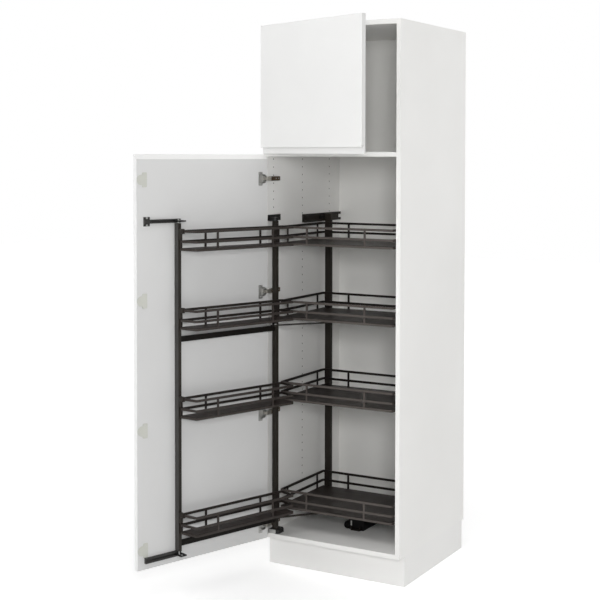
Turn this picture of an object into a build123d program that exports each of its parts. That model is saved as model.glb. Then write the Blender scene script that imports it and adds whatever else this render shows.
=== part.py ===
"""Tall kitchen cabinet with a swing-and-slide larder fitting behind its lower door.

Every moving piece is drawn in the closed cabinet and then carried to the resting pose: the lower
door and its swing frame stand wide open, the inner frame has come forward, the upper door is ajar.
The origin is on the floor, at the middle of the plinth's front face. X runs to the right, Y to the
back and Z up. Millimetres and degrees.
"""
from build123d import *
import os
from math import atan2, cos, hypot, radians, sin

os.makedirs("parts", exist_ok=True)

# Carcass and plinth
CARCASS_WIDTH = 606.0
CARCASS_DEPTH = 604.0
CARCASS_HEIGHT = 2036.0
LOWER_BAY_HEIGHT = 1530.0  # carcass underside to the line where the two doors meet
BOARD = 18.0
BACK_BOARD = 3.0
BACK_RECESS = 18.0  # open depth behind the back board
GROOVE_DEPTH = 6.0
GROOVE_CLEARANCE = 0.1
GROOVE_END_ROOM = 0.5
PLINTH_HEIGHT = 117.0
PLINTH_SETBACK = 46.0
PLINTH_BOARD = 16.0
WALL_RAIL_HEIGHT = 100.0
WALL_HOLE_RADIUS = 3.5
WALL_HOLE_SPACING = 480.0

# Shelf-pin holes and panel dowels
PIN_HOLE_RADIUS = 2.5
PIN_HOLE_DEPTH = 10.0
PIN_HOLE_PITCH = 32.0
PIN_ROW_FROM_FRONT = 45.0
PIN_ROW_SPACING = 224.0
PIN_ROWS = 3
PIN_HOLES_FROM_END = 84.0
DOWEL_RADIUS = 4.0
DOWEL_LENGTH = 30.0
DOWEL_IN_SIDE = 12.0
DOWEL_FROM_EDGE = 60.0
DOWELS_PER_JOINT = 3
DOWEL_CLEARANCE = 0.05
DOWEL_END_ROOM = 0.5

# Levelling legs
LEG_FROM_SIDE = 75.0
LEG_FROM_PLINTH = 62.0
LEG_FROM_BACK = 70.0
LEG_FLANGE = 64.0
LEG_FLANGE_THICKNESS = 5.0
LEG_TUBE_RADIUS = 17.0
LEG_SOCKET_HEIGHT = 72.0
LEG_STEM_RADIUS = 11.0
LEG_STEM_IN_SOCKET = 30.0
LEG_STEM_CLEARANCE = 0.2
LEG_FOOT_RADIUS = 27.0
LEG_FOOT_HEIGHT = 12.0
CLIP_THICKNESS = 3.0
CLIP_HEIGHT = 22.0
CLIP_CENTRE_HEIGHT = 80.0
CLIP_CLEARANCE = 0.2
CLIP_PLATE_WIDTH = 46.0
CLIP_NECK_WIDTH = 12.0
CLIP_MOUTH_WIDTH = 27.5

# Doors
DOOR_THICKNESS = 20.0
DOOR_REVEAL = 1.5
DOOR_GAP = 3.5  # carcass front to the back of a closed door
DOOR_EDGE_RADIUS = 1.5
LOWER_GRIP_LIP = 4.0
LOWER_GRIP_BEVEL = 18.0
UPPER_GRIP_HEIGHT = 24.0
UPPER_GRIP_LIP = 5.0
UPPER_GRIP_TAIL = 8.0
UPPER_GRIP_UNDERCUT = 9.0
LOWER_DOOR_OPEN = 109.2
UPPER_DOOR_OPEN = 20.5

# Cup hinges
LOWER_HINGES_FROM_FOOT = (52.5, 500.5, 985.5)
LOWER_HINGE_FROM_HEAD = 95.5
CAPS_FROM_FOOT = (71.5, 513.5, 990.5)
CAP_FROM_HEAD = 93.5
UPPER_HINGE_FROM_END = 95.0
HINGE_AXIS_FROM_EDGE = 9.0
HINGE_AXIS_FROM_BACK = 10.5
CUP_RADIUS = 17.4
CUP_WALL = 0.7
CUP_FLOOR = 0.6
CUP_DEPTH = 14.0
CUP_BORE_CLEARANCE = 0.1
CUP_FROM_EDGE = 3.0
FLANGE_RADIUS = 18.6
FLANGE_THICKNESS = 1.0
FLANGE_WING_WIDTH = 20.0
FLANGE_WING_HEIGHT = 54.0
FLANGE_WING_OFFSET = 14.0  # cup axis to the wings' middle, away from the door's edge
FLANGE_CORNER = 3.0
FLANGE_SCREW_OFFSET = 20.0
HINGE_PIN_RADIUS = 1.5
HINGE_RUNNING_CLEARANCE = 0.05
HINGE_PRESS_CLEARANCE = 0.02
ARM_HALF_HEIGHT = 5.0
ARM_LEG_HALF_HEIGHT = 8.0
ARM_EYE_RADIUS = 2.5
ARM_NECK_UNDER_AXIS = 0.5
ARM_REACH = 14.0  # hinge axis to the near face of the arm's upright leg
ARM_THICKNESS = 3.0
ARM_LENGTH = 80.0
LUG_GAP = 0.6
LUG_LENGTH = 4.0
LUG_HALF_WIDTH = 3.0
LUG_TOP = 2.2
PLATE_FROM_FRONT = 14.0
PLATE_LENGTH = 64.0
PLATE_HALF_HEIGHT = 9.0
PLATE_SCREW_OFFSET = 16.0
PLATE_SCREW_SEAT = 3.0  # wall to the screw heads, sunk under the arm
CAP_THICKNESS = 2.0
CAP_PLUG_DEPTH = 8.0

# Screws
SCREW_RADIUS = 2.0
SCREW_LENGTH = 15.0
SCREW_HEAD_RADIUS = 4.0
SCREW_HEAD_HEIGHT = 2.2
SCREW_CLEARANCE = 0.05
SCREW_RECESS_CLEARANCE = 0.3

# Swing frame behind the lower door
PIVOT_FROM_WALL = 27.0
PIVOT_FROM_FRONT = 14.0
POST_WIDTH = 13.0
POST_DOOR_SIDE = 10.0  # pivot axis to the post face next to the door
POST_TRAY_SIDE = 14.0
OUTER_POST_FROM_WALL = 81.0  # right wall to the closed outer post's axis
PIVOT_POST_FROM_FLOOR = 17.0
PIVOT_POST_FROM_SPLIT = 265.0  # the split is the line where the two doors meet
OUTER_POST_FROM_FLOOR = 29.0
OUTER_POST_FROM_SPLIT = 257.0
CROSS_BAR_HEIGHT = 20.0
CROSS_BAR_DEPTH = 12.0
CROSS_BAR_UNDER_TRAY = 17.5
PIVOT_PIN_RADIUS = 4.5
PIVOT_PIN_CLEARANCE = 0.05
PIVOT_PIN_LENGTH = 30.0
PIVOT_END_GAP = 0.3
FOOT_BRACKET_WIDTH = 46.0
FOOT_BRACKET_DEPTH = 50.0
FOOT_BRACKET_THICKNESS = 16.0
FOOT_BRACKET_CHAMFER = 10.0
FOOT_BRACKET_SEAT = 5.0  # floor panel to the pin's foot and to the sunk screw heads
FOOT_BRACKET_BOSS = 10.0
HEAD_BRACKET_HEIGHT = 24.0
HEAD_BRACKET_LENGTH = 78.0
HEAD_BRACKET_PLATE = 4.0
HEAD_BRACKET_ARM_RADIUS = 12.0
HEAD_BRACKET_ARM_THICKNESS = 14.0
HEAD_BRACKET_SCREW_SHARES = (0.45, 0.8)  # of the bracket's length, from the pivot

# Baskets
UPPER_TRAYS_FROM_SPLIT = (364.0, 662.5)  # inner baskets' undersides, top to bottom
LOWER_TRAYS_FROM_FLOOR = (520.5, 83.0)
UPPER_DOOR_TRAYS_FROM_SPLIT = (358.5, 651.5)  # door baskets' undersides
LOWER_DOOR_TRAYS_FROM_FLOOR = (530.0, 95.0)
RAIL_HEIGHT = 9.0
RAIL_THICKNESS = 5.0
MID_RAIL_ABOVE_TRAY = 34.0
TOP_RAIL_ABOVE_TRAY = 72.0
STAY_WIDTH = 8.0
STAY_THICKNESS = 4.0
DOOR_STAYS_FROM_ENDS = (111.0, 117.0)  # from the basket's pivot end and post end
INNER_STAYS_FROM_ENDS = (124.0, 124.0)
SIDE_STAY_SPACING = 240.0
BASKET_CORNER = 8.0
TRAY_BOARD = 8.0
TRAY_BOARD_CLEARANCE = 0.3
TRAY_BEARER_WIDTH = 16.0
TRAY_BEARER_THICKNESS = 2.0
BASKET_PLATE = 3.0
BASKET_PLATE_WIDTH = 11.0
OUTER_BASKET_PAST_PIVOT = 22.0  # at the basket's door side
OUTER_BASKET_PAST_POST = 4.0
OUTER_BASKET_DEPTH = 83.0
OUTER_BASKET_PIVOT_TAPER = 6.0  # how much the far side falls short at each end
OUTER_BASKET_POST_TAPER = 18.0

# Inner frame on its slides
INNER_BASKET_FROM_WALL = 10.0
INNER_BASKET_FROM_RIGHT = 52.0
INNER_BASKET_FROM_BACK = 98.0  # with the inner frame home
INNER_BASKET_FROM_FRONT = 78.0  # with the inner frame forward
INNER_POST_WIDTH = 28.0
INNER_POST_DEPTH = 14.0
INNER_POST_IN_BASKET = 6.0  # basket's side to the post's side
INNER_POST_FROM_FLOOR = 55.0
INNER_POST_FROM_SPLIT = 252.0
TOP_RUNNER_START = 266.0
TOP_RUNNER_FROM_BACK = 12.0
TOP_RUNNER_HEIGHT = 34.0
TOP_RUNNER_DEPTH = 14.0
TOP_RUNNER_FROM_SPLIT = 283.0
TOP_RUNNER_SCREW_SHARES = (0.06, 0.94)  # of the runner's length, from its front
RUNNER_WALL = 2.0
RUNNER_SLOT = 14.0
RUNNER_CLEARANCE = 0.3
TOP_CARRIAGE_LENGTH = 74.0
FLOOR_RUNNER_CENTRE = 10.0
FLOOR_RUNNER_START = 190.0
FLOOR_RUNNER_FROM_BACK = 8.0
FLOOR_RUNNER_WIDTH = 40.0
FLOOR_RUNNER_HEIGHT = 16.0
FLOOR_RUNNER_SCREW_SHARES = (0.95,)
FLOOR_CARRIAGE_WIDTH = 66.0
FLOOR_CARRIAGE_LENGTH = 128.0
FLOOR_CARRIAGE_START = 200.0  # with the inner frame forward
FLOOR_CARRIAGE_GROUND_GAP = 0.8
FLOOR_CARRIAGE_NOSE_RADIUS = 15.0
FLOOR_CARRIAGE_NOSE_LENGTH = 22.0

# Links that draw the inner frame forward
CRANK_RADIUS = 35.0
CRANK_LEAD = 55.0
CRANK_PLATE = 3.0
CRANK_EYE_RADIUS = 9.0
LINK_THICKNESS = 4.5
LINK_WIDTH = 12.0
LINK_GAP = 0.3
LINK_LENGTH = 230.0
LINK_ANGLE = 49.0
LINK_PIN_RADIUS = 3.0
LINK_PIN_CLEARANCE = 0.05
LINK_PIN_STAND = 5.2
LINK_BOLT_HEAD_RADIUS = 6.0
LINK_BOLT_HEAD_HEIGHT = 3.0
LINK_END_PLAY = 3.4
LINK_BRACKET_GAP = 0.5
LINK_BRACKET_THICKNESS = 3.0
LINK_BRACKET_WIDTH = 70.0
LINK_BRACKET_DEPTH = 34.0
LINK_BRACKET_FOOT = 8.0

# Guides on the lower door
GUIDE_FROM_FREE_EDGE = 30.0
GUIDE_END_ROOM = 3.0  # beyond the shoe with the door wide open
GUIDE_WALL = 1.6
GUIDE_DEPTH = 11.0
TOP_GUIDE_HEIGHT = 14.0
TOP_GUIDE_FROM_SPLIT = 255.0
BOTTOM_GUIDE_HEIGHT = 20.0
BOTTOM_GUIDE_FROM_FLOOR = 7.0
GUIDE_SLOT = 5.6
SHOE_CLEARANCE = 0.3
SHOE_LENGTH = 26.0
TONGUE_REACH = 50.0  # door back to the end of the shoe's tongue
TONGUE_SLOT_START = 13.0
GUIDE_PIN_RADIUS = 3.0
GUIDE_PIN_OUT = 6.0  # pivot plane to the pin, away from the door
GUIDE_PIN_SIDE_PLAY = 4.0
GUIDE_PIN_PAST_TONGUE = 3.0
GUIDE_END_BLOCK = 26.0
TOP_GUIDE_PLATE_HEIGHT = 34.0
TOP_GUIDE_PLATE = 3.0

# Places worked out from the sizes above
LEFT = -CARCASS_WIDTH / 2
RIGHT = CARCASS_WIDTH / 2
WALL_LEFT = LEFT + BOARD
WALL_RIGHT = RIGHT - BOARD
FRONT = -PLINTH_SETBACK
REAR = FRONT + CARCASS_DEPTH
BACK_FACE = REAR - BACK_RECESS - BACK_BOARD
FOOT = PLINTH_HEIGHT
HEAD = PLINTH_HEIGHT + CARCASS_HEIGHT
FLOOR_TOP = FOOT + BOARD
CEILING = HEAD - BOARD
SPLIT = FOOT + LOWER_BAY_HEIGHT
SHELF_BOTTOM = SPLIT - BOARD / 2

PIVOT_POST_BOTTOM = FLOOR_TOP + PIVOT_POST_FROM_FLOOR
PIVOT_POST_TOP = SPLIT - PIVOT_POST_FROM_SPLIT
OUTER_POST_BOTTOM = FLOOR_TOP + OUTER_POST_FROM_FLOOR
OUTER_POST_TOP = SPLIT - OUTER_POST_FROM_SPLIT
INNER_POST_BOTTOM = FLOOR_TOP + INNER_POST_FROM_FLOOR
INNER_POST_TOP = SPLIT - INNER_POST_FROM_SPLIT
TOP_RUNNER_BOTTOM = SPLIT - TOP_RUNNER_FROM_SPLIT
TOP_GUIDE_BOTTOM = SPLIT - TOP_GUIDE_FROM_SPLIT
BOTTOM_GUIDE_BOTTOM = FLOOR_TOP + BOTTOM_GUIDE_FROM_FLOOR
TRAY_HEIGHTS = [SPLIT - depth for depth in UPPER_TRAYS_FROM_SPLIT]
TRAY_HEIGHTS += [FLOOR_TOP + height for height in LOWER_TRAYS_FROM_FLOOR]
DOOR_TRAY_HEIGHTS = [SPLIT - depth for depth in UPPER_DOOR_TRAYS_FROM_SPLIT]
DOOR_TRAY_HEIGHTS += [FLOOR_TOP + height for height in LOWER_DOOR_TRAYS_FROM_FLOOR]
LINKED_TRAY_HEIGHTS = TRAY_HEIGHTS[1::2]  # every second inner tray has a cross bar and a link under it

DOOR_LEFT = LEFT + DOOR_REVEAL
DOOR_RIGHT = RIGHT - DOOR_REVEAL
DOOR_BACK = FRONT - DOOR_GAP
DOOR_FACE = DOOR_BACK - DOOR_THICKNESS
LOWER_DOOR_BOTTOM = FOOT + DOOR_REVEAL
LOWER_DOOR_TOP = SPLIT - DOOR_REVEAL
UPPER_DOOR_BOTTOM = SPLIT + DOOR_REVEAL
UPPER_DOOR_TOP = HEAD - DOOR_REVEAL
HINGE_X = DOOR_LEFT + HINGE_AXIS_FROM_EDGE
HINGE_Y = DOOR_BACK - HINGE_AXIS_FROM_BACK
CUP_X = DOOR_LEFT + CUP_FROM_EDGE + CUP_RADIUS + CUP_BORE_CLEARANCE
CAP_X = DOOR_RIGHT - (CUP_X - DOOR_LEFT)
LOWER_HINGE_HEIGHTS = [LOWER_DOOR_BOTTOM + height for height in LOWER_HINGES_FROM_FOOT]
LOWER_HINGE_HEIGHTS.append(LOWER_DOOR_TOP - LOWER_HINGE_FROM_HEAD)
CAP_HEIGHTS = [LOWER_DOOR_BOTTOM + height for height in CAPS_FROM_FOOT]
CAP_HEIGHTS.append(LOWER_DOOR_TOP - CAP_FROM_HEAD)
UPPER_HINGE_HEIGHTS = [UPPER_DOOR_BOTTOM + UPPER_HINGE_FROM_END, UPPER_DOOR_TOP - UPPER_HINGE_FROM_END]
HINGE_HEIGHTS = LOWER_HINGE_HEIGHTS + UPPER_HINGE_HEIGHTS
ARM_NEAR = HINGE_X + ARM_REACH
PLATE_START = FRONT + PLATE_FROM_FRONT

PIVOT_X = WALL_LEFT + PIVOT_FROM_WALL
PIVOT_Y = FRONT + PIVOT_FROM_FRONT
OUTER_X = WALL_RIGHT - OUTER_POST_FROM_WALL
POST_HALF = POST_WIDTH / 2
TRAY_SIDE_FACE = PIVOT_Y + POST_TRAY_SIDE

CRANK_ALONG = CRANK_RADIUS * cos(radians(CRANK_LEAD))
CRANK_OUT = CRANK_RADIUS * sin(radians(CRANK_LEAD))
CRANK_OPEN = radians(LOWER_DOOR_OPEN - CRANK_LEAD)
LINK_SHIFT_X = CRANK_RADIUS * cos(CRANK_OPEN) - CRANK_ALONG
LINK_SHIFT_Y = -CRANK_RADIUS * sin(CRANK_OPEN) - CRANK_OUT
INNER_TRAVEL = -LINK_SHIFT_Y
LINK_SIDE_PLAY = CRANK_RADIUS - CRANK_ALONG
LINK_END_X = PIVOT_X + CRANK_ALONG + LINK_LENGTH * cos(radians(LINK_ANGLE))
LINK_END_Y = PIVOT_Y + CRANK_OUT + LINK_LENGTH * sin(radians(LINK_ANGLE))

INNER_LEFT = WALL_LEFT + INNER_BASKET_FROM_WALL
INNER_FRONT = FRONT + INNER_BASKET_FROM_FRONT + INNER_TRAVEL
INNER_RIGHT = WALL_RIGHT - INNER_BASKET_FROM_RIGHT
INNER_BACK = BACK_FACE - INNER_BASKET_FROM_BACK
INNER_POST_LEFT = INNER_LEFT + INNER_POST_IN_BASKET
INNER_POST_FRONT = INNER_BACK + BASKET_PLATE
TOP_RUNNER_SPAN = (FRONT + TOP_RUNNER_START, BACK_FACE - TOP_RUNNER_FROM_BACK)
FLOOR_RUNNER_SPAN = (FRONT + FLOOR_RUNNER_START, BACK_FACE - FLOOR_RUNNER_FROM_BACK)

# The two hinge axes don't coincide, so the guide shoe travels along the door as it opens.
AXIS_OFFSET = hypot(PIVOT_X - HINGE_X, PIVOT_Y - HINGE_Y)
AXIS_ANGLE = atan2(PIVOT_Y - HINGE_Y, PIVOT_X - HINGE_X)
SHOE_TRAVEL = AXIS_OFFSET * (cos(AXIS_ANGLE + radians(LOWER_DOOR_OPEN)) - cos(AXIS_ANGLE))
GUIDE_RIGHT = DOOR_RIGHT - GUIDE_FROM_FREE_EDGE
GUIDE_LEFT = OUTER_X + SHOE_TRAVEL - SHOE_LENGTH / 2 - GUIDE_END_ROOM
TOP_GUIDE_MIDDLE = TOP_GUIDE_BOTTOM + TOP_GUIDE_HEIGHT / 2
BOTTOM_GUIDE_MIDDLE = BOTTOM_GUIDE_BOTTOM + BOTTOM_GUIDE_HEIGHT / 2


def block(x, y, z):
    """Box from three (low, high) pairs."""
    size = [high - low for low, high in (x, y, z)]
    middle = [(high + low) / 2 for low, high in (x, y, z)]
    return Pos(*middle) * Box(*size)


def upright(x, y, z, radius):
    """Round bar along Z between the (low, high) pair z."""
    return Pos(x, y, (z[0] + z[1]) / 2) * Cylinder(radius, z[1] - z[0])


def bar_along_x(x, y, z, radius):
    """Round bar along X between the (low, high) pair x."""
    return Pos((x[0] + x[1]) / 2, y, z) * Rot(0, 90, 0) * Cylinder(radius, x[1] - x[0])


def bar_along_y(x, y, z, radius):
    """Round bar along Y between the (low, high) pair y."""
    return Pos(x, (y[0] + y[1]) / 2, z) * Rot(90, 0, 0) * Cylinder(radius, y[1] - y[0])


def around(value, half):
    """The (low, high) pair centred on a value."""
    return value - half, value + half


def hull_plate(discs, thickness):
    """Plate in XY, lying on Z = 0, that wraps a few (x, y, radius) discs."""
    edges = [edge for x, y, radius in discs for edge in (Pos(x, y) * Circle(radius)).edges()]
    return extrude(make_hull(edges), thickness)


def turned(shape, x, y, opening):
    """Turns a closed door's piece about an upright axis, opening angle clockwise from above."""
    return Pos(x, y, 0) * Rot(0, 0, -opening) * Pos(-x, -y, 0) * shape


def with_lower_door(shape):
    return turned(shape, HINGE_X, HINGE_Y, LOWER_DOOR_OPEN)


def with_upper_door(shape):
    return turned(shape, HINGE_X, HINGE_Y, UPPER_DOOR_OPEN)


def with_swing_frame(shape):
    return turned(shape, PIVOT_X, PIVOT_Y, LOWER_DOOR_OPEN)


def with_inner_frame(shape):
    return Pos(0, -INNER_TRAVEL, 0) * shape


def with_link(shape):
    return Pos(LINK_SHIFT_X, LINK_SHIFT_Y, 0) * shape


def with_shoe(shape):
    return with_lower_door(Pos(SHOE_TRAVEL, 0, 0) * shape)


def screw(place):
    """Screw whose head sits on the XY plane of a place and whose shank goes down its Z axis."""
    head = Pos(0, 0, SCREW_HEAD_HEIGHT / 2) * Cylinder(SCREW_HEAD_RADIUS, SCREW_HEAD_HEIGHT)
    shank = Pos(0, 0, -SCREW_LENGTH / 2) * Cylinder(SCREW_RADIUS, SCREW_LENGTH)
    return place * (head + shank)


def screw_hole(place):
    depth = SCREW_LENGTH + DOWEL_END_ROOM
    return place * Pos(0, 0, -depth / 2) * Cylinder(SCREW_RADIUS + SCREW_CLEARANCE, depth)


def screw_recess(place, depth):
    """Space above a sunk screw head, up to a fitting's surface."""
    return place * Pos(0, 0, depth / 2) * Cylinder(SCREW_HEAD_RADIUS + SCREW_RECESS_CLEARANCE, depth)


def part_way(span, share):
    return span[0] + share * (span[1] - span[0])


def cut_all(shape, cutters):
    return shape - list(cutters) if cutters else shape


def on_left_wall(x, y, z):
    """Place on a fitting on the left side panel, facing into the cabinet."""
    return Pos(x, y, z) * Rot(0, 90, 0)


def on_floor_panel(x, y, z):
    return Pos(x, y, z)


def on_door_back(x, y, z):
    """Place on the back of a closed door, facing into the cabinet."""
    return Pos(x, y, z) * Rot(-90, 0, 0)


# Screw places, shared by the fittings, the boards and the screws themselves
HINGE_PLATE_SCREWS = [
    on_left_wall(WALL_LEFT + PLATE_SCREW_SEAT, PLATE_START + PLATE_LENGTH / 2 + offset, height)
    for height in HINGE_HEIGHTS
    for offset in (-PLATE_SCREW_OFFSET, PLATE_SCREW_OFFSET)
]
HEAD_BRACKET_BOTTOM = PIVOT_POST_TOP + PIVOT_END_GAP
HEAD_BRACKET_SCREWS = [
    on_left_wall(WALL_LEFT + HEAD_BRACKET_PLATE, PIVOT_Y + share * HEAD_BRACKET_LENGTH,
                 HEAD_BRACKET_BOTTOM + HEAD_BRACKET_HEIGHT / 2)
    for share in HEAD_BRACKET_SCREW_SHARES
]
FOOT_BRACKET_LEFT = PIVOT_X - FOOT_BRACKET_WIDTH / 2
FOOT_BRACKET_FRONT = PIVOT_Y - PIVOT_FROM_FRONT + RUNNER_WALL
FOOT_BRACKET_SCREWS = [
    on_floor_panel(PIVOT_X + side * (FOOT_BRACKET_WIDTH / 2 - 2 * SCREW_HEAD_RADIUS),
                   FOOT_BRACKET_FRONT + FOOT_BRACKET_DEPTH - 2 * SCREW_HEAD_RADIUS,
                   FLOOR_TOP + FOOT_BRACKET_SEAT)
    for side in (-1, 1)
]
TOP_RUNNER_SCREWS = [
    on_left_wall(WALL_LEFT + RUNNER_WALL, part_way(TOP_RUNNER_SPAN, share),
                 TOP_RUNNER_BOTTOM + TOP_RUNNER_HEIGHT / 2)
    for share in TOP_RUNNER_SCREW_SHARES
]
FLOOR_RUNNER_SCREWS = [
    on_floor_panel(FLOOR_RUNNER_CENTRE, part_way(FLOOR_RUNNER_SPAN, share), FLOOR_TOP + RUNNER_WALL)
    for share in FLOOR_RUNNER_SCREW_SHARES
]
WALL_SCREWS = HINGE_PLATE_SCREWS + HEAD_BRACKET_SCREWS + TOP_RUNNER_SCREWS
FLOOR_SCREWS = FOOT_BRACKET_SCREWS + FLOOR_RUNNER_SCREWS
LOWER_CUP_SCREWS, UPPER_CUP_SCREWS = [
    [on_door_back(CUP_X + FLANGE_WING_OFFSET, DOOR_BACK + FLANGE_THICKNESS,
                  height + side * FLANGE_SCREW_OFFSET)
     for height in heights for side in (-1, 1)]
    for heights in (LOWER_HINGE_HEIGHTS, UPPER_HINGE_HEIGHTS)
]
GUIDE_HEIGHTS = (
    (TOP_GUIDE_BOTTOM, TOP_GUIDE_HEIGHT),
    (BOTTOM_GUIDE_BOTTOM, BOTTOM_GUIDE_HEIGHT),
)
GUIDE_BLOCK_LEFT = GUIDE_RIGHT - GUIDE_END_BLOCK
GUIDE_BLOCK_MIDDLE = GUIDE_RIGHT - GUIDE_END_BLOCK / 2
TOP_GUIDE_SCREWS = [
    on_door_back(GUIDE_BLOCK_MIDDLE, DOOR_BACK + TOP_GUIDE_PLATE, TOP_GUIDE_MIDDLE + offset)
    for offset in around(0.0, TOP_GUIDE_PLATE_HEIGHT / 2 - SCREW_HEAD_RADIUS)
]
BOTTOM_GUIDE_SCREWS = [
    on_door_back(GUIDE_BLOCK_MIDDLE + side * GUIDE_END_BLOCK / 4, DOOR_BACK + GUIDE_DEPTH,
                 BOTTOM_GUIDE_MIDDLE)
    for side in (-1, 1)
]
GUIDE_SCREWS = TOP_GUIDE_SCREWS + BOTTOM_GUIDE_SCREWS

# Dowel places: each shelf-like panel meets both sides on a row of dowels
DOWEL_PANEL_MIDDLES = (FOOT + BOARD / 2, SPLIT, HEAD - BOARD / 2)
DOWEL_STEP = (BACK_FACE - FRONT - 2 * DOWEL_FROM_EDGE) / (DOWELS_PER_JOINT - 1)
DOWEL_PLACES = [
    (side, FRONT + DOWEL_FROM_EDGE + index * DOWEL_STEP, middle)
    for side in (-1, 1) for middle in DOWEL_PANEL_MIDDLES for index in range(DOWELS_PER_JOINT)
]


def dowel(side, y, z, clearance=0.0, end_room=0.0):
    """Dowel across the joint between a side panel and a flat panel."""
    joint = CARCASS_WIDTH / 2 - BOARD
    inner = joint - (DOWEL_LENGTH - DOWEL_IN_SIDE) - end_room
    outer = joint + DOWEL_IN_SIDE + end_room
    span = sorted((side * inner, side * outer))
    return bar_along_x(span, y, z, DOWEL_RADIUS + clearance)


def dowel_holes(side=None, middle=None):
    return [dowel(*place, DOWEL_CLEARANCE, DOWEL_END_ROOM) for place in DOWEL_PLACES
            if side in (None, place[0]) and middle in (None, place[2])]


def pin_holes(side):
    """Rows of shelf-pin holes in a side panel's inner face."""
    face = side * (CARCASS_WIDTH / 2 - BOARD)
    span = sorted((face, face + side * PIN_HOLE_DEPTH))
    lowest = FLOOR_TOP + PIN_HOLES_FROM_END
    count = int((CEILING - PIN_HOLES_FROM_END - lowest) / PIN_HOLE_PITCH) + 1
    holes = []
    for row in range(PIN_ROWS):
        y = FRONT + PIN_ROW_FROM_FRONT + row * PIN_ROW_SPACING
        for index in range(count):
            z = lowest + index * PIN_HOLE_PITCH
            if abs(z - SPLIT) > BOARD:
                holes.append(bar_along_x(span, y, z, PIN_HOLE_RADIUS))
    return holes


def back_groove():
    """Space that the back board's edges slide into, all round."""
    reach = GROOVE_DEPTH
    return block((WALL_LEFT - reach, WALL_RIGHT + reach),
                 (BACK_FACE - GROOVE_CLEARANCE, BACK_FACE + BACK_BOARD + GROOVE_CLEARANCE),
                 (FLOOR_TOP - reach, CEILING + reach))


def wall_holes():
    z = CEILING - WALL_RAIL_HEIGHT / 2
    through = (BACK_FACE - BOARD, REAR + BOARD)
    return [bar_along_y(x, through, z, WALL_HOLE_RADIUS) for x in around(0.0, WALL_HOLE_SPACING / 2)]


def carcass():
    groove = back_groove()
    depth = (FRONT, REAR)
    left = block((LEFT, WALL_LEFT), depth, (FOOT, HEAD)) - groove
    left = cut_all(left, pin_holes(-1) + dowel_holes(side=-1))
    left = cut_all(left, [screw_hole(place) for place in WALL_SCREWS])
    right = block((WALL_RIGHT, RIGHT), depth, (FOOT, HEAD)) - groove
    right = cut_all(right, pin_holes(1) + dowel_holes(side=1))
    inside = (WALL_LEFT, WALL_RIGHT)
    bottom = block(inside, depth, (FOOT, FLOOR_TOP)) - groove
    bottom = cut_all(bottom, dowel_holes(middle=DOWEL_PANEL_MIDDLES[0]))
    bottom = cut_all(bottom, [screw_hole(place) for place in FLOOR_SCREWS])
    shelf = block(inside, (FRONT, BACK_FACE - GROOVE_CLEARANCE), around(SPLIT, BOARD / 2))
    shelf = cut_all(shelf, dowel_holes(middle=DOWEL_PANEL_MIDDLES[1]))
    top = block(inside, depth, (CEILING, HEAD)) - groove
    top = cut_all(top, dowel_holes(middle=DOWEL_PANEL_MIDDLES[2]))
    reach = GROOVE_DEPTH - GROOVE_END_ROOM
    back = block((WALL_LEFT - reach, WALL_RIGHT + reach), (BACK_FACE, BACK_FACE + BACK_BOARD),
                 (FLOOR_TOP - reach, CEILING + reach))
    rail_depth = (BACK_FACE + BACK_BOARD + GROOVE_CLEARANCE, REAR)
    rail = block(inside, rail_depth, (CEILING - WALL_RAIL_HEIGHT, CEILING))
    return {
        "side_panel_left": left,
        "side_panel_right": right,
        "bottom_panel": bottom,
        "divider_shelf": shelf,
        "top_panel": top,
        "back_board": cut_all(back, wall_holes()),
        "wall_rail": cut_all(rail, wall_holes()),
        "panel_dowels": Compound(children=[dowel(*place) for place in DOWEL_PLACES]),
    }


def plinth_and_legs():
    sides_end = REAR - BACK_RECESS
    nodes = {
        "plinth_front": block((LEFT, RIGHT), (0, PLINTH_BOARD), (0, FOOT)),
        "plinth_side_left": block((LEFT, LEFT + PLINTH_BOARD), (PLINTH_BOARD, sides_end), (0, FOOT)),
        "plinth_side_right": block((RIGHT - PLINTH_BOARD, RIGHT), (PLINTH_BOARD, sides_end), (0, FOOT)),
    }
    front_y = LEG_FROM_PLINTH
    sockets, feet, clips = [], [], []
    for x in (LEFT + LEG_FROM_SIDE, RIGHT - LEG_FROM_SIDE):
        for y in (front_y, REAR - LEG_FROM_BACK):
            flange_span = (FOOT - LEG_FLANGE_THICKNESS, FOOT)
            flange = block(around(x, LEG_FLANGE / 2), around(y, LEG_FLANGE / 2), flange_span)
            tube_bottom = FOOT - LEG_SOCKET_HEIGHT
            tube = upright(x, y, (tube_bottom, FOOT), LEG_TUBE_RADIUS)
            stem_top = tube_bottom + LEG_STEM_IN_SOCKET
            bore_span = (tube_bottom, stem_top + LEG_STEM_CLEARANCE)
            bore = upright(x, y, bore_span, LEG_STEM_RADIUS + LEG_STEM_CLEARANCE)
            sockets.append(flange + tube - bore)
            foot = upright(x, y, (0, LEG_FOOT_HEIGHT), LEG_FOOT_RADIUS)
            feet.append(foot + upright(x, y, (0, stem_top), LEG_STEM_RADIUS))
        heights = around(CLIP_CENTRE_HEIGHT, CLIP_HEIGHT / 2)
        inner = LEG_TUBE_RADIUS + CLIP_CLEARANCE
        ring = upright(x, front_y, heights, inner + CLIP_THICKNESS) - upright(x, front_y, heights, inner)
        mouth = block(around(x, CLIP_MOUTH_WIDTH / 2), (front_y, front_y + 2 * inner), heights)
        plate_depth = (PLINTH_BOARD, PLINTH_BOARD + CLIP_THICKNESS)
        plate = block(around(x, CLIP_PLATE_WIDTH / 2), plate_depth, heights)
        neck_depth = (PLINTH_BOARD, front_y - inner - CLIP_THICKNESS / 2)
        neck = block(around(x, CLIP_NECK_WIDTH / 2), neck_depth, heights)
        clips.append(plate + neck + (ring - mouth))
    nodes["leg_sockets"] = Compound(children=sockets)
    nodes["leg_feet"] = Compound(children=feet)
    nodes["plinth_clips"] = Compound(children=clips)
    return nodes


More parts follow.
